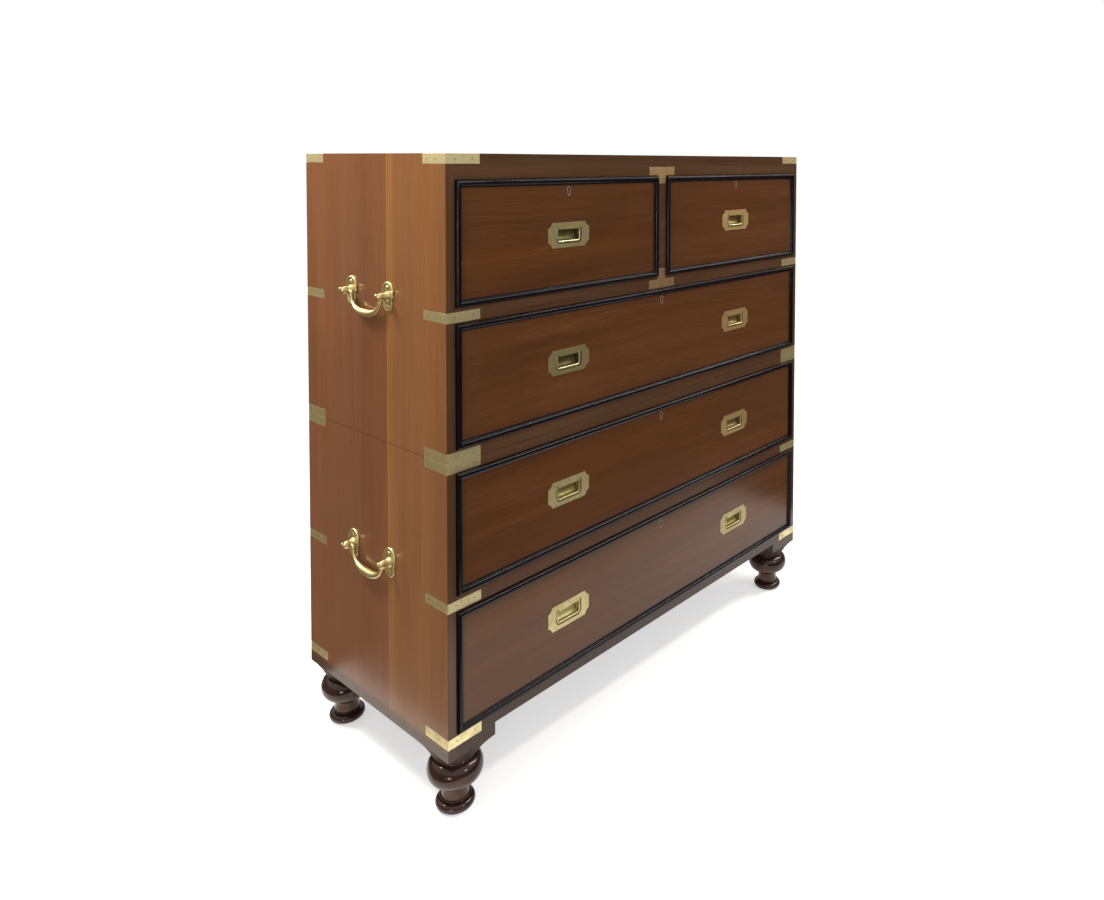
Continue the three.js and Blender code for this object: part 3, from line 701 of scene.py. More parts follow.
# %% From a shape to a piece
def put_right(mesh, sharp):
    """Turns the faces outwards, and shades smooth all edges flatter than the sharp angle."""
    work = bmesh.new()
    work.from_mesh(mesh)
    bmesh.ops.remove_doubles(work, verts=work.verts, dist=1e-7)
    bmesh.ops.recalc_face_normals(work, faces=work.faces)
    work.to_mesh(mesh)
    work.free()
    mesh.shade_smooth()
    mesh.set_sharp_from_angle(angle=math.radians(sharp))


def round_edges(piece, width, angle=40):
    bevel = piece.modifiers.new("rounded edges", "BEVEL")
    bevel.width = width
    bevel.segments = 2
    bevel.limit_method = "ANGLE"
    bevel.angle_limit = math.radians(angle)
    bevel.harden_normals = True


def settle(piece, finishes, body, stands_for, sharp, edge):
    """Gives a piece its finishes and its rounded edges, and lets it ride."""
    for finish in finishes:
        piece.data.materials.append(finish)
    if edge:
        round_edges(piece, edge, sharp)
    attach(piece, body)
    if stands_for:
        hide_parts(*stands_for)


def make(name, shape, finishes, body, stands_for=(), sharp=32, edge=0.0):
    """Turns a shape into a piece of the chest."""
    mesh = bpy.data.meshes.new(name)
    mesh.from_pydata(shape.points, [], shape.faces)
    mesh.polygons.foreach_set("material_index", shape.finishes)
    put_right(mesh, sharp)
    settle(add_object(name, mesh), finishes, body, stands_for, sharp, edge)


# %% Curves that are drawn flat
def oval(across, up, wide, high, start, end, steps):
    """Points on part of an oval, its angles in degrees."""
    turns = [math.radians(start + (end - start) * i / steps) for i in range(steps + 1)]
    return [(across + wide * math.cos(turn), up + high * math.sin(turn)) for turn in turns]


def arc(across, up, radius, start, end, steps):
    return oval(across, up, radius, radius, start, end, steps)


def circle(across, up, radius, sides):
    return arc(across, up, radius, 0, 360, sides)[:-1]


def sweep(path, sections):
    """Rings that stand across a flat path, with a section, aside and out, for each of its points."""
    rings = []
    for i, ((x, y), section) in enumerate(zip(path, sections)):
        before, after = path[max(i - 1, 0)], path[min(i + 1, len(path) - 1)]
        along = Vector((after[0] - before[0], after[1] - before[1])).normalized()
        rings.append([(x - along.y * aside, y + along.x * aside, out) for aside, out in section])
    return rings


print("A circle of eight starts at", circle(0, 0, 1, 8)[:2])

# %% Seats and middles
middle_depth = (front + back) / 2
faces_of_chest = {
    "front": (Vector((0, -1, 0)), Vector((0, front, 0))),
    "back": (Vector((0, 1, 0)), Vector((0, back, 0))),
    "left": (Vector((-1, 0, 0)), Vector((left, middle_depth, 0))),
    "right": (Vector((1, 0, 0)), Vector((right, middle_depth, 0))),
    "top": (Vector((0, 0, 1)), Vector((0, middle_depth, top))),
}


def middle_of(name):
    """The middle of a solid's box: across the front, in depth, and up."""
    low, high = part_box(name)
    return [(a + b) / 2 for a, b in zip(low, high)]


def moved(seat, across=0.0, up=0.0, out=0.0):
    return seat @ Matrix.Translation((across, up, out))


def on(face, across=0.0, up=0.0, out=0.0):
    """The seat of a piece on a face of the chest: across, up and out become its three directions."""
    outward, origin = faces_of_chest[face]
    upward = Vector((0, 1, 0)) if face == "top" else Vector((0, 0, 1))
    sideways = upward.cross(outward)
    turn = Matrix((sideways, upward, outward)).transposed().to_4x4()
    return moved(Matrix.Translation(origin) @ turn, across, up, out)


print("A point 10 mm out from the front lies at", [round(v, 3) for v in on("front", out=0.01).translation])

# %% [markdown]
# ## The boards
# The boards keep the shapes that the frame gives them. What a saw and a plane leave, though, is
# never a perfect edge. Filing each edge into the mesh would change the frame, so a Bevel modifier
# rounds it by under a millimetre, which catches the light and draws the joints. A Weld goes first,
# because the frame's meshes arrive split along their edges.

# %% Dress the boards
weld_reach = 0.00001


def dress(nodes, finish, edge):
    for name in nodes:
        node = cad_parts[name]
        node.material_slots[0].material = finish
        weld = node.modifiers.new("one skin", "WELD")
        weld.merge_threshold = weld_reach
        round_edges(node, edge)
    print(finish.name, "goes on", len(nodes), "solids")


drawers = ("short_left", "short_right", "long_upper", "long_middle", "long_lower")
sides = [case + side for case in ("lower", "upper") for side in ("_left_side", "_right_side")]
dress(sides, case_side_wood, 0.0007)
dress(("lower_top_board", "lower_bottom_board", "lower_drawer_rail"), case_front_wood, 0.0006)
dress(("upper_bottom_board", "upper_drawer_rail"), case_front_wood, 0.0006)
dress(("upper_top_board", "upper_top_rail"), case_front_wood, 0.0002)
dress(("lower_back", "upper_back"), back_wood, 0.0005)
dress([name + "_front" for name in drawers], drawer_front_wood, 0.0004)
dress([name + "_box" for name in drawers], inner_wood, 0.0008)

# %% [markdown]
# ## Screws
# A screw on this chest is a slotted brass countersunk one. Its slot could be cut by a boolean, but
# two half moons with a slot of dirt between them are the same to the eye and far lighter. Each slot
# points its own way, as screws do, and a count keeps the same turns on every run.

# %% Screw heads
slot_share = 0.17
rim_share = 0.93
crown_share = 0.72
crown_lean_share = 1.4
rim_off_slot = 0.07
rim_dome_share = 0.35
head_sunk = 0.0004
dirt_sunk = 0.0003
dirt_long_share = 0.94
dirt_wide_share = 1.05
dirt_height_share = 0.25
moon_steps = 12


def screw(shape, seat, radius, turn, proud, dome):
    """Adds a slotted head. Finish 0 is its metal and finish 1 the dirt in its slot."""
    slot = radius * slot_share
    lean = math.degrees(math.asin(slot / radius))
    spin = seat @ Matrix.Rotation(turn, 4, "Z")
    for side, away in ((0, 1), (180, -1)):
        moon = arc(0, 0, radius, side + lean, side + 180 - lean, moon_steps)
        top_lean = lean * crown_lean_share
        crown = arc(0, 0, radius * crown_share, side + top_lean, side + 180 - top_lean, moon_steps)
        off_slot = slot * rim_off_slot * away
        rim_height = proud + dome * rim_dome_share
        rings = [[(x, y, height) for x, y in moon] for height in (-head_sunk, proud / 2)]
        rings.append([(x * rim_share, y * rim_share + off_slot, rim_height) for x, y in moon])
        rings.append([(x, y, proud + dome) for x, y in crown])
        shape.skin(rings, spin)
    long, wide, high = radius * dirt_long_share, slot * dirt_wide_share, proud * dirt_height_share
    shape.block((-long, -wide, -dirt_sunk), (long, wide, high), spin, 1)


# %% Rows of screws
golden_angle = 137.5
screw_count = 0


def next_turn():
    """A turn for the next screw's slot, spread by the golden angle."""
    global screw_count
    screw_count += 1
    return math.radians(golden_angle * screw_count)


def screws(name, seats, radius, body, metal=strap_brass, proud=0.00014, dome=0.0):
    shape = Shape()
    for seat in seats:
        screw(shape, seat, radius, next_turn(), proud, dome)
    make(name, shape, (metal, slot_dirt), body, sharp=50)


# %% [markdown]
# ## Corner straps
# The brass that names the type: an angle of flat bar let into each corner, three to a case. The two
# straps that meet at the seam read as one wide strap when the cases stand together. The uppermost
# ones also turn over the top. Two crossed boxes would overlap at the corner, so a strap is drawn in
# plan as an L and given its height, and the cap of an uppermost one is joined on.

# %% Joining and carving
def loose(shape):
    """A shape as a bare object, to be joined or cut."""
    mesh = bpy.data.meshes.new("loose")
    mesh.from_pydata(shape.points, [], shape.faces)
    put_right(mesh, 30)
    return add_object("loose", mesh)


def combine(base, part, operation):
    """Joins a part to a base, or cuts the base with it, and leaves one mesh."""
    change = base.modifiers.new("change", "BOOLEAN")
    change.object = part
    change.operation = operation
    change.solver = "EXACT"
    bpy.context.view_layer.update()
    evaluated = base.evaluated_get(bpy.context.evaluated_depsgraph_get())
    mesh = bpy.data.meshes.new_from_object(evaluated)
    base.modifiers.clear()
    base.data = mesh
    bpy.data.objects.remove(part)


def finish_piece(piece, name, finishes, body, stands_for=(), sharp=32, edge=0.0):
    """Names a carved piece, gives it its finishes and lets it ride."""
    piece.name = name
    piece.data.name = name
    put_right(piece.data, sharp)
    piece.data.materials.clear()
    settle(piece, finishes, body, stands_for, sharp, edge)


# %% Straps in plan
strap_thickness = 0.002
strap_width = 0.016
strap_front_leg = 0.063
strap_side_leg = 0.060
strap_sunk = 0.00015
edges_and_ways_in = {"left": (left, 1), "right": (right, -1), "front": (front, 1), "back": (back, -1)}


def corner_plan(side, end, thickness):
    """An L in plan round one corner of the chest, as thick as given."""
    near = strap_sunk
    plan = ((near, near), (strap_front_leg, near), (strap_front_leg, thickness),
            (thickness, thickness), (thickness, strap_side_leg), (near, strap_side_leg))
    x_edge, in_x = edges_and_ways_in[side]
    y_edge, in_y = edges_and_ways_in[end]
    return [(x_edge + in_x * a, y_edge + in_y * b) for a, b in plan]


# %% Where a strap's screws go, measured from its corner
strap_screw_radius = 0.0026
front_screw_reaches = (0.017, 0.050)
side_screw_reaches = (0.026, 0.049)
top_screw_reach = 0.040


def strap_screw_seats(side, end, height, capped):
    half_width = (right - left) / 2
    half_depth = (back - front) / 2
    in_x, in_y = edges_and_ways_in[side][1], edges_and_ways_in[end][1]
    way = in_x * in_y
    spots = [(end, way * (reach - half_width), height) for reach in front_screw_reaches]
    spots += [(side, way * (half_depth - reach), height) for reach in side_screw_reaches]
    if capped:
        middle = strap_width / 2
        spots += [("top", in_x * (x_reach - half_width), in_y * (y_reach - half_depth))
                  for x_reach, y_reach in ((top_screw_reach, middle), (middle, top_screw_reach))]
    return [on(face, across, up, -strap_sunk) for face, across, up in spots]


# %% Corner straps
strap_rise = 0.0025
seam_gap = 0.00015
strap_rounding = 0.00015


def strap(name, side, end, low, high, body, capped):
    piece = loose(Shape().slab(corner_plan(side, end, strap_thickness), low, high))
    if capped:
        cap = Shape().slab(corner_plan(side, end, strap_width), high - strap_thickness, high)
        combine(piece, loose(cap), "UNION")
    finish_piece(piece, name, (strap_brass,), body, edge=strap_rounding)
    seats = strap_screw_seats(side, end, (low + high) / 2, capped)
    screws(name + "_screws", seats, strap_screw_radius, body)


strap_levels = (
    ("lower_case", "foot", case_bottom, case_bottom + strap_width, False),
    ("lower_case", "middle", lower_rail + strap_rise, lower_rail + strap_rise + strap_width, False),
    ("lower_case", "head", seam - strap_width, seam - seam_gap, False),
    ("upper_case", "foot", seam + seam_gap, seam + strap_width, False),
    ("upper_case", "middle", upper_rail + strap_rise, upper_rail + strap_rise + strap_width, False),
    ("upper_case", "head", top - strap_width, top - strap_sunk, True),
)
for body, level, low, high, capped in strap_levels:
    for side in ("left", "right"):
        for end in ("front", "back"):
            strap(f"{body}_{level}_strap_{end}_{side}", side, end, low, high, body, capped)
print("Straps made:", 4 * len(strap_levels))

# %% [markdown]
# ## T plates
# Where the divider between the short drawers meets the rails above and below it, a brass T plate
# covers each joint: a bar on the rail and a short stem on the divider. Drawn as one outline it would
# need eight corners worked out, so two bars are joined instead.

# %% T plates
plate_bar_length = 0.075
plate_bar_width = 0.016
plate_stem_length = 0.016
plate_screw_reach = 0.029
stem_screw_inset = 0.006
divider_width = 0.024
rail_thickness = 0.024
stem_overlap = 0.001
stem_clearance = 0.0002


def t_plate(name, bar_low, stem_from, stem_to, stem_screw):
    half, half_stem = plate_bar_length / 2, divider_width / 2 - stem_clearance
    seat, behind = on("front"), -strap_thickness
    bar = Shape().block((-half, bar_low, behind), (half, bar_low + plate_bar_width, 0), seat)
    stem = Shape().block((-half_stem, stem_from, behind), (half_stem, stem_to, 0), seat)
    piece = loose(bar)
    combine(piece, loose(stem), "UNION")
    finish_piece(piece, name, (plate_brass_with_dim_reflection,), "upper_case", edge=0.00025)
    bar_middle = bar_low + plate_bar_width / 2
    seats = [on("front", across, bar_middle) for across in (-plate_screw_reach, plate_screw_reach)]
    seats.append(on("front", 0, stem_screw))
    screws(name + "_screws", seats, strap_screw_radius, "upper_case", metal=plate_brass_with_dim_reflection)


head_bar = top_rail_high - plate_bar_width - seam_gap
head_stem = head_bar - plate_stem_length
t_plate("divider_head_plate", head_bar, head_stem, head_bar + stem_overlap, head_stem + stem_screw_inset)
foot_bar = upper_rail + strap_rise
foot_stem = upper_rail + rail_thickness + plate_stem_length
t_plate("divider_foot_plate", foot_bar, foot_bar + plate_bar_width - stem_overlap, foot_stem,
        foot_stem - stem_screw_inset)
print("The T plates reach", round(plate_stem_length, 3), "m along the divider")

# %% [markdown]
# ## Feet
# A foot is turned from square stock: a rounded pad, a straight waist, a fat bulge, a groove, and a
# shoulder where the lathe work runs out into the square. A Screw modifier would spin the turned part,
# but not the shoulder. So the foot is a stack of rings, and those of the shoulder go from a circle to
# a square, a little squarer at each step, so the corners fade out as they do on the real foot.

# %% The foot's sizes
foot_width = 0.090
foot_height = 0.109
pad_radius = 0.0316
pad_flat = 0.022
pad_height = 0.0165
waist_radius = 0.0212
bulge_radius = 0.0448
bulge_inner = 0.0262
bulge_low = 0.0425
bulge_high = 0.084
collar_height = 0.089
collar_radius = 0.036
shoulder_steps = 8
foot_sides = 96
groove_points = ((0.0318, 0.0842), (0.0310, 0.0850), (0.0312, 0.0862), (0.0330, 0.0873))


# %% A turned profile
def half_swell(inner, outer, low, high, steps, start=0.0, end=180.0):
    """Part of a round swelling: radius and height from its foot to its top."""
    return oval(inner, (low + high) / 2, outer - inner, (high - low) / 2, start - 90, end - 90, steps)


def foot_profile():
    profile = [(0.004, 0.0), (pad_flat - 0.001, 0.0)]
    profile += half_swell(pad_flat, pad_radius, 0.0, pad_height, 16, 8, 172)
    profile += half_swell(waist_radius + 0.001, waist_radius + 0.0035, pad_height, pad_height + 0.003, 6)
    profile += [(waist_radius + 0.0008, pad_height + 0.0045), (waist_radius, 0.027), (waist_radius, 0.033)]
    profile += [(waist_radius + 0.0012, 0.037), (waist_radius + 0.003, 0.0395)]
    profile += half_swell(bulge_inner, bulge_radius, bulge_low, bulge_high, 26, 10, 162)
    profile += groove_points
    profile += [(collar_radius - 0.001, collar_height - 0.0008), (collar_radius, collar_height)]
    return profile


# %% Turned feet
def foot_ring(radius, height, centre, squareness=0.0):
    """A ring of the foot. Its squareness runs from 0, a circle, to 1, the full square."""
    ring = []
    for i in range(foot_sides):
        turn = 2 * math.pi * (i + 0.5) / foot_sides
        to_square = foot_width / 2 / max(abs(math.cos(turn)), abs(math.sin(turn)))
        reach = radius + (to_square - radius) * squareness
        ring.append((centre[0] + reach * math.cos(turn), centre[1] + reach * math.sin(turn), height))
    return ring


def turned_foot(node):
    """Stacks the rings. Finish 0 is the turned part, and finish 1 the shoulder above the collar."""
    centre = middle_of(node)
    rings = [foot_ring(radius, height, centre) for radius, height in foot_profile()]
    for i in range(1, shoulder_steps + 1):
        share = i / shoulder_steps
        height = collar_height + (foot_height - collar_height) * share
        rings.append(foot_ring(collar_radius, height, centre, share))
    foot = Shape().skin(rings)
    lowest = [min(foot.points[corner].z for corner in face) for face in foot.faces]
    foot.finishes = [int(height > collar_height - 0.0001) for height in lowest]
    polishes = (foot_polish, foot_square_polish)
    make("turned_" + node, foot, polishes, "lower_case", (node,), sharp=46)


for node in ("foot_front_left", "foot_front_right", "foot_back_left", "foot_back_right"):
    turned_foot(node)
print("A foot has", len(foot_profile()) + shoulder_steps, "rings of", foot_sides, "points")

# %% [markdown]
# ## Beads
# Round each drawer front runs a black half-round bead, mitred at the corners. Four bars cut at 45
# degrees would do, and leave four joints to match. Here one section is carried round four corners:
# at each corner it is inset by the same amount both ways, which is what a mitre is.

# %% The bead in section
bead_width = 0.009
bead_proud = 0.006
bead_rebate = 0.006
bead_steps = 14
fillet_points = ((0.0, -0.0002), (0.0026, -0.0002), (0.0022, 0.0005), (0.0007, 0.0009))


def bead_section():
    """The bead in section, as inset from the drawer's edge and distance out."""
    radius = bead_width / 2
    shoulder = bead_proud - radius
    nose = arc(radius, shoulder, radius, 0, 180, bead_steps)
    fillet = [(bead_width + past, out) for past, out in fillet_points]
    return [(0, -bead_rebate), (bead_width, -bead_rebate), *fillet, *nose]


# %% Drawer beads
for name in drawers:
    low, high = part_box(name + "_bead")
    across, _, up = middle_of(name + "_bead")
    half_across, half_up = (high.x - low.x) / 2, (high.z - low.z) / 2
    corners = [[(across + sx * (half_across - inset), up + sy * (half_up - inset), out)
                for inset, out in bead_section()] for sx, sy in square]
    ring = Shape().skin(corners, on("front"), closed=True)
    bead = (name + "_bead",)
    make(name + "_mitred_bead", ring, (bead_polish,), name + "_drawer", bead, sharp=44)
    print(name, "has a bead of", round(half_across * 2, 3), "by", round(half_up * 2, 3), "m")

# %% [markdown]
# ## Recessed pulls
# A pull must lie flush, so that stacked and carried chests don't catch. Its plate has scooped
# corners and a finger cup behind, and its bail lies in a groove round the cup. The cup is deep
# under the top edge and curves out towards the bottom, which is why its lower half is bright and
# its upper half dark. Such a hollow is hard to build face by face, so the plate is carved: a body,
# less the groove, less the cup.

# %% The pull's sizes
pull_width = 0.097
pull_height = 0.0435
pull_scoop = 0.0095
pull_scoop_turn = 29
pull_lift = 0.0002
pull_thickness = 0.002
cup_half_width = 0.0245
cup_low = -0.009
cup_high = 0.0095
cup_depth = 0.0108
cup_turn_height = 0.003
cup_lip_depth = 0.0028
cup_overrun = 0.0005
cup_corner = 0.003
cup_top_corner = 0.0022
cup_curve_steps = 10
cup_back_low = (-0.0337, -0.017, -0.012)
cup_back_high = (0.0337, 0.0153, -0.001)
paint_margin = 0.0002
paint_depth = 0.0006
cutter_margin = 0.002
bail_band = 0.005
bail_low = -0.014
bail_high = 0.0123
bail_gap = 0.0005
groove_depth = 0.0034
groove_corner = 0.0085
small_corner = 0.0006
pull_screw_radius = 0.0017
pull_screw_spots = (
    (-0.036, 0.0165), (0, 0.0180), (0.036, 0.0165), (-0.0425, -0.004), (0.0425, -0.004),
    (-0.030, -0.0182), (0.030, -0.0182),
)


# %% Outlines of the plate and of what is cut from it
def pull_outline():
    """The plate: a rectangle with a shallow scoop at each corner, about a point that lies outside it."""
    half_turn = math.radians(pull_scoop_turn)
    radius = pull_scoop / math.sqrt(2) / math.sin(half_turn)
    away = radius * math.cos(half_turn) / math.sqrt(2) - pull_scoop / 2
    x, y = pull_width / 2 + away, pull_height / 2 + away
    outline = []
    for sx, sy, middle in ((1, 1, 225), (-1, 1, 315), (-1, -1, 45), (1, -1, 135)):
        outline += arc(sx * x, sy * y, radius, middle + pull_scoop_turn, middle - pull_scoop_turn, 10)
    return outline


def rounded_box(half_width, low, high, radius, top_radius, steps=6):
    inner = half_width - radius
    inner_top = half_width - top_radius
    return (arc(inner_top, high - top_radius, top_radius, 0, 90, steps)
            + arc(-inner_top, high - top_radius, top_radius, 90, 180, steps)
            + arc(-inner, low + radius, radius, 180, 270, steps)
            + arc(inner, low + radius, radius, 270, 360, steps))


# %% What is cut from a pull plate
def cup_cutter(seat):
    """The finger cup: a rounded box cut by a side view that is deep above and shallow below."""
    opening = rounded_box(cup_half_width, cup_low, cup_high, cup_corner, cup_top_corner)
    box = loose(Shape().slab(opening, -cup_depth - cutter_margin / 2, cutter_margin / 2, seat))
    above, fall = cup_high + cutter_margin, cup_low - cup_overrun - cup_turn_height
    side_view = [(cutter_margin, above), (-cup_depth, above), (-cup_depth, cup_turn_height)]
    for along, up in arc(0, 0, 1, 0, 90, cup_curve_steps)[1:]:
        side_view.append((-cup_depth * along - cup_lip_depth * up, cup_turn_height + fall * up))
    side_view.append((cutter_margin, cup_low - cup_overrun * 3))
    wide = (-cup_half_width - cup_depth / 2, cup_half_width + cup_depth / 2)
    curve = Shape().skin([[(across, up, out) for out, up in side_view] for across in wide], seat)
    combine(box, loose(curve), "INTERSECT")
    return box


def groove_cutter(seat):
    """The groove round the cup, that leaves the bank between itself and the cup."""
    outer = cup_half_width + bail_band + bail_gap
    top_edge = bail_high + cutter_margin / 2
    outline = rounded_box(outer, bail_low - bail_gap, top_edge, groove_corner, small_corner)
    bank = rounded_box(cup_half_width, cup_low, bail_high + cutter_margin, cup_corner, small_corner)
    bank_piece = loose(Shape().slab(bank, -cup_depth * 2, cutter_margin, seat))
    groove = loose(Shape().slab(outline, -groove_depth, cutter_margin / 2, seat))
    combine(groove, bank_piece, "DIFFERENCE")
    return groove


# %% Pull plates
def paint_cup(plate, seat):
    """Gives the faces inside the cup the plate's second finish, a darker brass that paints the shade in
    the cup.
    """
    into_plate = seat.inverted()
    for face in plate.data.polygons:
        across, up, out = into_plate @ face.center
        beside = abs(across) < cup_half_width + paint_margin
        level = cup_low - paint_margin < up < cup_high + paint_margin
        face.material_index = int(beside and level and out < -paint_depth)


def pull_plate(name, seat, body, node, metals):
    plate = loose(Shape().slab(pull_outline(), -pull_thickness, 0, seat))
    combine(plate, loose(Shape().block(cup_back_low, cup_back_high, seat)), "UNION")
    combine(plate, groove_cutter(seat), "DIFFERENCE")
    combine(plate, cup_cutter(seat), "DIFFERENCE")
    finish_piece(plate, name, metals, body, (node,), sharp=30, edge=0.0004)
    paint_cup(plate, seat)
    seats = [moved(seat, x, y) for x, y in pull_screw_spots]
    screws(name + "_screws", seats, pull_screw_radius, body, metal=metals[0], proud=0.0001)


# %% Pull bails
bail_rod_half = 0.0017
bail_back = -0.0027
bail_front = 0.0003
bail_bend = 0.0052
bail_shoulder = 0.0014
bail_crown = 0.0016
bail_chamfer = 0.0004
bail_end_share = 0.7
bail_clearance = 0.0003
bail_below_cup = 0.0006
bail_knee = 0.004
pin_start_share = 0.4
pin_overrun = 0.0019
pull_pin_radius = 0.0011
pull_pin_height = 0.011


def bail_section():
    """The rod in section, across and out: flat behind and round in front."""
    half, flat = bail_rod_half, bail_rod_half - bail_chamfer
    crown = oval(0, bail_back + bail_shoulder, half, bail_crown, 180, 0, 10)
    low = bail_back + bail_chamfer
    return [(-half, low), *crown, (half, low), (flat, bail_back), (-flat, bail_back)]


def bail_path(reach):
    """A U, from its left end down, across and up again."""
    foot = cup_low - bail_rod_half - bail_below_cup
    heights = (bail_high - bail_clearance, bail_high - bail_clearance * 4, bail_knee)
    left_limb = [(-reach, height) for height in heights]
    right_limb = [(reach, height) for height in reversed(heights)]
    left_bend = arc(-reach + bail_bend, foot + bail_bend, bail_bend, 180, 270, 10)
    right_bend = arc(reach - bail_bend, foot + bail_bend, bail_bend, 270, 360, 10)
    return left_limb + left_bend + right_bend + right_limb


def pull_bail(name, seat, body, node, metal):
    """A U of half-round rod with its pins, lying in the groove."""
    reach = cup_half_width + bail_rod_half + bail_clearance
    path = bail_path(reach)
    section = bail_section()
    narrow = [(aside * bail_end_share, out) for aside, out in section]
    sections = [narrow, *[section] * (len(path) - 2), narrow]
    shape = Shape().skin(sweep(path, sections), seat)
    pin = circle(pull_pin_height, (bail_back + bail_front) / 2, pull_pin_radius, 12)
    for sign in (-1, 1):
        starts, stops = reach + bail_rod_half * pin_start_share, cup_half_width + bail_band + pin_overrun
        shape.skin([[(sign * x, up, out) for up, out in pin] for x in (starts, stops)], seat)
    make(name, shape, (metal,), body, (node,), sharp=50)


# %% The eight pulls, each with the brass of its plate, its cup and its bail
# Each cup takes a darker brass than its plate, painted shade in the cup; the warm look paints the warm
# light on three right-hand pulls.
plain_look = (dull_brass, cup_shade_brass, bail_brass)
warm_lit_look = (warm_lit_brass, warm_lit_cup_shade_brass, bail_brass)
pulls = (
    ("short_left", "", plain_look),
    ("short_right", "", warm_lit_look),
    ("long_upper", "_left", plain_look),
    ("long_upper", "_right", warm_lit_look),
    ("long_middle", "_left", (low_brass, pale_cup_shade_brass, dull_brass)),
    ("long_middle", "_right", warm_lit_look),
    ("long_lower", "_left", (low_brass, bright_cup_shade_brass, low_brass)),
    ("long_lower", "_right", (dull_brass, pale_cup_shade_brass, dull_brass)),
)
for name, side, (plate_metal, cup_metal, bail_metal) in pulls:
    plate_node = name + "_pull_plate" + side
    bail_node = name + "_pull_bail" + side
    across, _, up = middle_of(plate_node)
    seat = on("front", across, up)
    lifted, metals = moved(seat, out=pull_lift), (plate_metal, cup_metal)
    pull_plate(name + "_recessed_pull" + side, lifted, name + "_drawer", plate_node, metals)
    pull_bail(name + "_drop_bail" + side, seat, name + "_pull" + side, bail_node, bail_metal)
print("Pulls made:", len(pulls))

# %% [markdown]
# ## Keyhole escutcheons and locks
# Each drawer locks. The escutcheon is a thread of brass let in round the keyhole. It could be
# painted on, but a real rim catches the light, so it is a closed ring with a dark plug inside, which
# paints the shade in the keyhole. Behind the front sits the lock, of which an open drawer shows a
# brass back plate and the strip on the top edge.

# %% Escutcheons
key_top_radius = 0.0043
key_foot_radius = 0.003
key_length = 0.0165
key_drop = 0.0145
key_ring = 0.0015
key_depth = 0.003
key_proud = 0.0001
bead_overlap = 0.0008
plug_gap = 0.00005
plug_back = -0.001
plug_front = 0.00004


def keyhole(shrink, steps=10):
    head = arc(0, key_length - key_top_radius, key_top_radius - shrink, 0, 180, steps)
    foot = arc(0, key_foot_radius, key_foot_radius - shrink, 180, 360, steps)
    return head + foot


def escutcheon(name, across, low_edge, body):
    outer, inner = keyhole(0), keyhole(key_ring)
    lines = ((outer, -key_depth), (outer, key_proud), (inner, key_proud), (inner, -key_depth))
    rings = [[(x, y, out) for x, y in line] for line, out in lines]
    seat = on("front", across, low_edge)
    shape = Shape().skin(rings, seat, closed=True)
    # The dark plug paints the shade inside the keyhole.
    shape.slab(keyhole(key_ring + plug_gap), plug_back, plug_front, seat, 1)
    make(name, shape, (key_brass, keyhole_painted_shade), body, sharp=40)


# %% Locks
lock_half_width = 0.031
lock_case_half_width = 0.024
lock_height = 0.048
lock_plate = 0.0012
lock_case_drop = 0.006
lock_case_start = 0.001
lock_case_depth = 0.0065
lock_strip_depth = 0.0095
lock_strip_rise = 0.00035
bolt_low = (-0.008, 0.0002, 0.002)
bolt_high = (0.008, 0.0006, 0.006)
lock_screw_reach = 0.0275
lock_screw_radius = 0.0018
lock_clearance = 0.0008


def lock(name, across, front_top, back_plane, body):
    """The parts of a drawer lock that show: a plate behind the front and a strip on its top edge."""
    shape = Shape()
    behind = on("front", across, front_top, -(back_plane - front))
    wide, narrow = lock_half_width, lock_case_half_width
    drops = (lock_case_drop, lock_height - lock_case_drop)
    shape.block((-wide, -lock_height, -lock_plate), (wide, -lock_clearance, 0), behind)
    shape.block((-narrow, -drops[1], -lock_case_depth), (narrow, -drops[0], -lock_case_start), behind)
    shape.block((-wide, 0, -lock_plate), (wide, lock_strip_rise, lock_strip_depth), behind)
    shape.block(bolt_low, bolt_high, behind, 1)
    make(name, shape, (strap_brass, lock_steel), body, edge=0.0002)
    rear = Matrix.Rotation(math.pi, 4, "Y")
    spots = [(sx * lock_screw_reach, -drop) for sx in (-1, 1) for drop in drops]
    seats = [moved(behind, x, y, -lock_plate) @ rear for x, y in spots]
    screws(name + "_screws", seats, lock_screw_radius, body, metal=lock_steel)


for name in drawers:
    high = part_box(name + "_front")[1]
    across = middle_of(name + "_front")[0]
    key_low = high.z + bead_overlap - key_drop - key_length
    escutcheon(name + "_escutcheon", across, key_low, name + "_drawer")
    lock(name + "_lock", across, high.z, high.y, name + "_drawer")
print("Locks made:", len(drawers))

# %% [markdown]
# ## Carrying handles
# Each case has a swan-neck handle on both sides: two lobed plates, each with a turned post that ends
# in a ball, and a bail that hangs between the posts and swells to a fat grip. A lathed post would
# stand straight, but these turn up towards their balls, so their rings lean as they go. The bail is a
# rod whose radius changes along a curve.

# %% Handle plates
handle_plate_half = 0.0245
upper_lobe = 0.0165
lower_lobe = 0.0136
rim_height = 0.0034
dish_height = 0.0023
plate_section = (
    (1, 0), (1, 0.0020), (0.975, 0.0030), (0.94, rim_height), (0.88, rim_height), (0.83, 0.0029),
    (0.78, dish_height),
)
waist_points = ((0.0166, 0.0006), (0.0148, -0.0008), (0.0131, -0.0030))
plate_screws = (
    ("_screws", 0.0150, 0.0038, 0.0006, 0.0013),
    ("_foot_screw", -0.0160, 0.0030, 0.0005, 0.0009),
)


def lobed_outline():
    """The plate: a large upper lobe and a smaller lower one, with a waist between small points."""
    high = handle_plate_half - upper_lobe
    low = lower_lobe - handle_plate_half
    half = arc(0, high, upper_lobe, 90, -20, 14)
    half += waist_points
    half += arc(0, low, lower_lobe, 24, -90, 12)
    other = [(-x, y) for x, y in reversed(half[1:-1])]
    return half + other


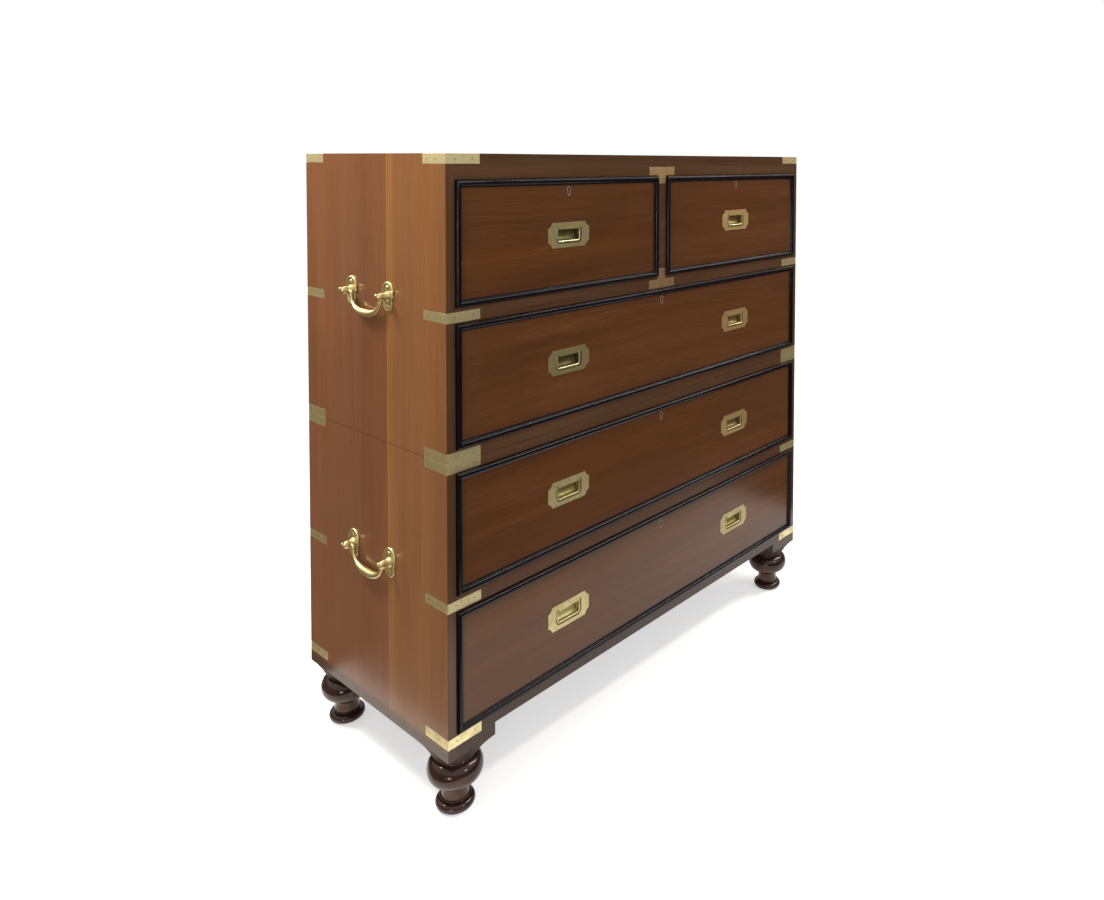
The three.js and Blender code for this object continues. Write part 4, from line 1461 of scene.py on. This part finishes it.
# %% Handle posts
post_profile = (
    (0.0096, 0.0020), (0.0088, 0.0038), (0.0076, 0.0058), (0.0070, 0.0085), (0.0070, 0.0120),
    (0.0069, 0.0150), (0.0063, 0.0172), (0.0052, 0.0189), (0.0039, 0.0202), (0.0027, 0.0211),
    (0.0021, 0.0218), (0.0020, 0.0224), (0.0024, 0.0229), (0.0023, 0.0235), (0.0014, 0.0241),
)
post_sides = 32
post_slimness = 0.9
post_neck = 0.0041
post_straight = 0.0110
post_end = 0.025
post_lift = 0.0062
post_curl = 1.6
slope_step = 0.0005


def post_rise(out):
    """How far the post's middle has risen at a distance out: it turns up towards its ball."""
    beyond = max(out - post_straight, 0) / (post_end - post_straight)
    return post_lift * beyond ** post_curl


def post_ring(radius, out):
    slope = (post_rise(out + slope_step) - post_rise(out - slope_step)) / (2 * slope_step)
    lean = math.atan(slope)
    slim = 1.0 if radius < post_neck else post_slimness
    return [(across * slim, post_rise(out) + up * math.cos(lean), out - up * math.sin(lean))
            for across, up in circle(0, 0, radius, post_sides)]


def handle_post(name, seat, body, node):
    rings = [[(x * share, y * share, out) for x, y in lobed_outline()] for share, out in plate_section]
    plate = Shape().skin(rings, seat)
    plate.skin([post_ring(radius, out) for radius, out in post_profile], seat)
    make(name, plate, (handle_brass,), body, (node,), sharp=60)
    for word, up, radius, proud, dome in plate_screws:
        at = moved(seat, 0, up, dish_height)
        screws(name + word, [at], radius, body, handle_brass, proud, dome)


# %% A smooth line
def between(before, here, there, after, t):
    """A point on the smooth curve from here to there, a share t along it."""
    straight = 2 * here + (there - before) * t
    bend = (2 * before - 5 * here + 4 * there - after) * t ** 2
    return 0.5 * (straight + bend + (3 * here - before - 3 * there + after) * t ** 3)


def smooth_line(points, steps):
    """A smooth line through the points, with equal steps between each two."""
    line = []
    for i in range(len(points) - 1):
        before = points[max(i - 1, 0)]
        after = points[min(i + 2, len(points) - 1)]
        line += [between(before, points[i], points[i + 1], after, j / steps) for j in range(steps)]
    return line + [points[-1]]


# %% Carrying bails
handle_pin_reach = 0.003
limb_spacing = 0.088
elbow = 0.004
limb_radius = 0.0023
belly_radius = 0.0066
bail_drop = 0.0318
belly_shares = ((0.94, 0.5), (0.7, 0.82), (0.36, 0.97))
bail_sides = 20


def bail_line(post_spacing):
    """The middle of the rod, from one pin round the belly to the other."""
    pin_end = post_spacing / 2 + handle_pin_reach
    limb = limb_spacing / 2
    quarter = [Vector((pin_end, 0)), Vector(((pin_end + limb + elbow) / 2, 0))]
    quarter += [Vector(p) for p in arc(limb + elbow, -elbow, elbow, 90, 180, 2)]
    quarter += [Vector((spread * limb, -drop * bail_drop)) for spread, drop in belly_shares]
    other = [Vector((-p.x, p.y)) for p in reversed(quarter)]
    return smooth_line([*quarter, Vector((0, -bail_drop)), *other], 6)


def carrying_bail(name, seat, post_spacing, body, node):
    line = bail_line(post_spacing)
    lengths = [0.0]
    for a, b in zip(line, line[1:]):
        lengths.append(lengths[-1] + (b - a).length)
    sections = []
    for length in lengths:
        swell = math.sin(math.pi * length / lengths[-1]) ** 3
        sections.append(circle(0, 0, limb_radius + (belly_radius - limb_radius) * swell, bail_sides))
    shape = Shape().skin(sweep(line, sections), seat)
    make(name, shape, (handle_brass,), body, (node,), sharp=60)


# %% Two handles to a case
handle_out = 0.009
for case in ("lower", "upper"):
    for side in ("left", "right"):
        posts = []
        for end in ("front", "rear"):
            node = f"{case}_handle_post_{side}_{end}"
            _, depth, height = middle_of(node)
            posts.append(depth)
            across = (middle_depth - depth) if side == "left" else (depth - middle_depth)
            seat = on(side, across, height)
            handle_post(f"{case}_swan_neck_post_{side}_{end}", seat, case + "_case", node)
        middle = on(side, 0, height, handle_out)
        spacing = abs(posts[0] - posts[1])
        bail = f"{case}_handle_bail_{side}"
        carrying_bail(f"{case}_carrying_bail_{side}", middle, spacing, f"{case}_handle_{side}", bail)
print("The posts of a handle stand", round(spacing, 3), "m apart")
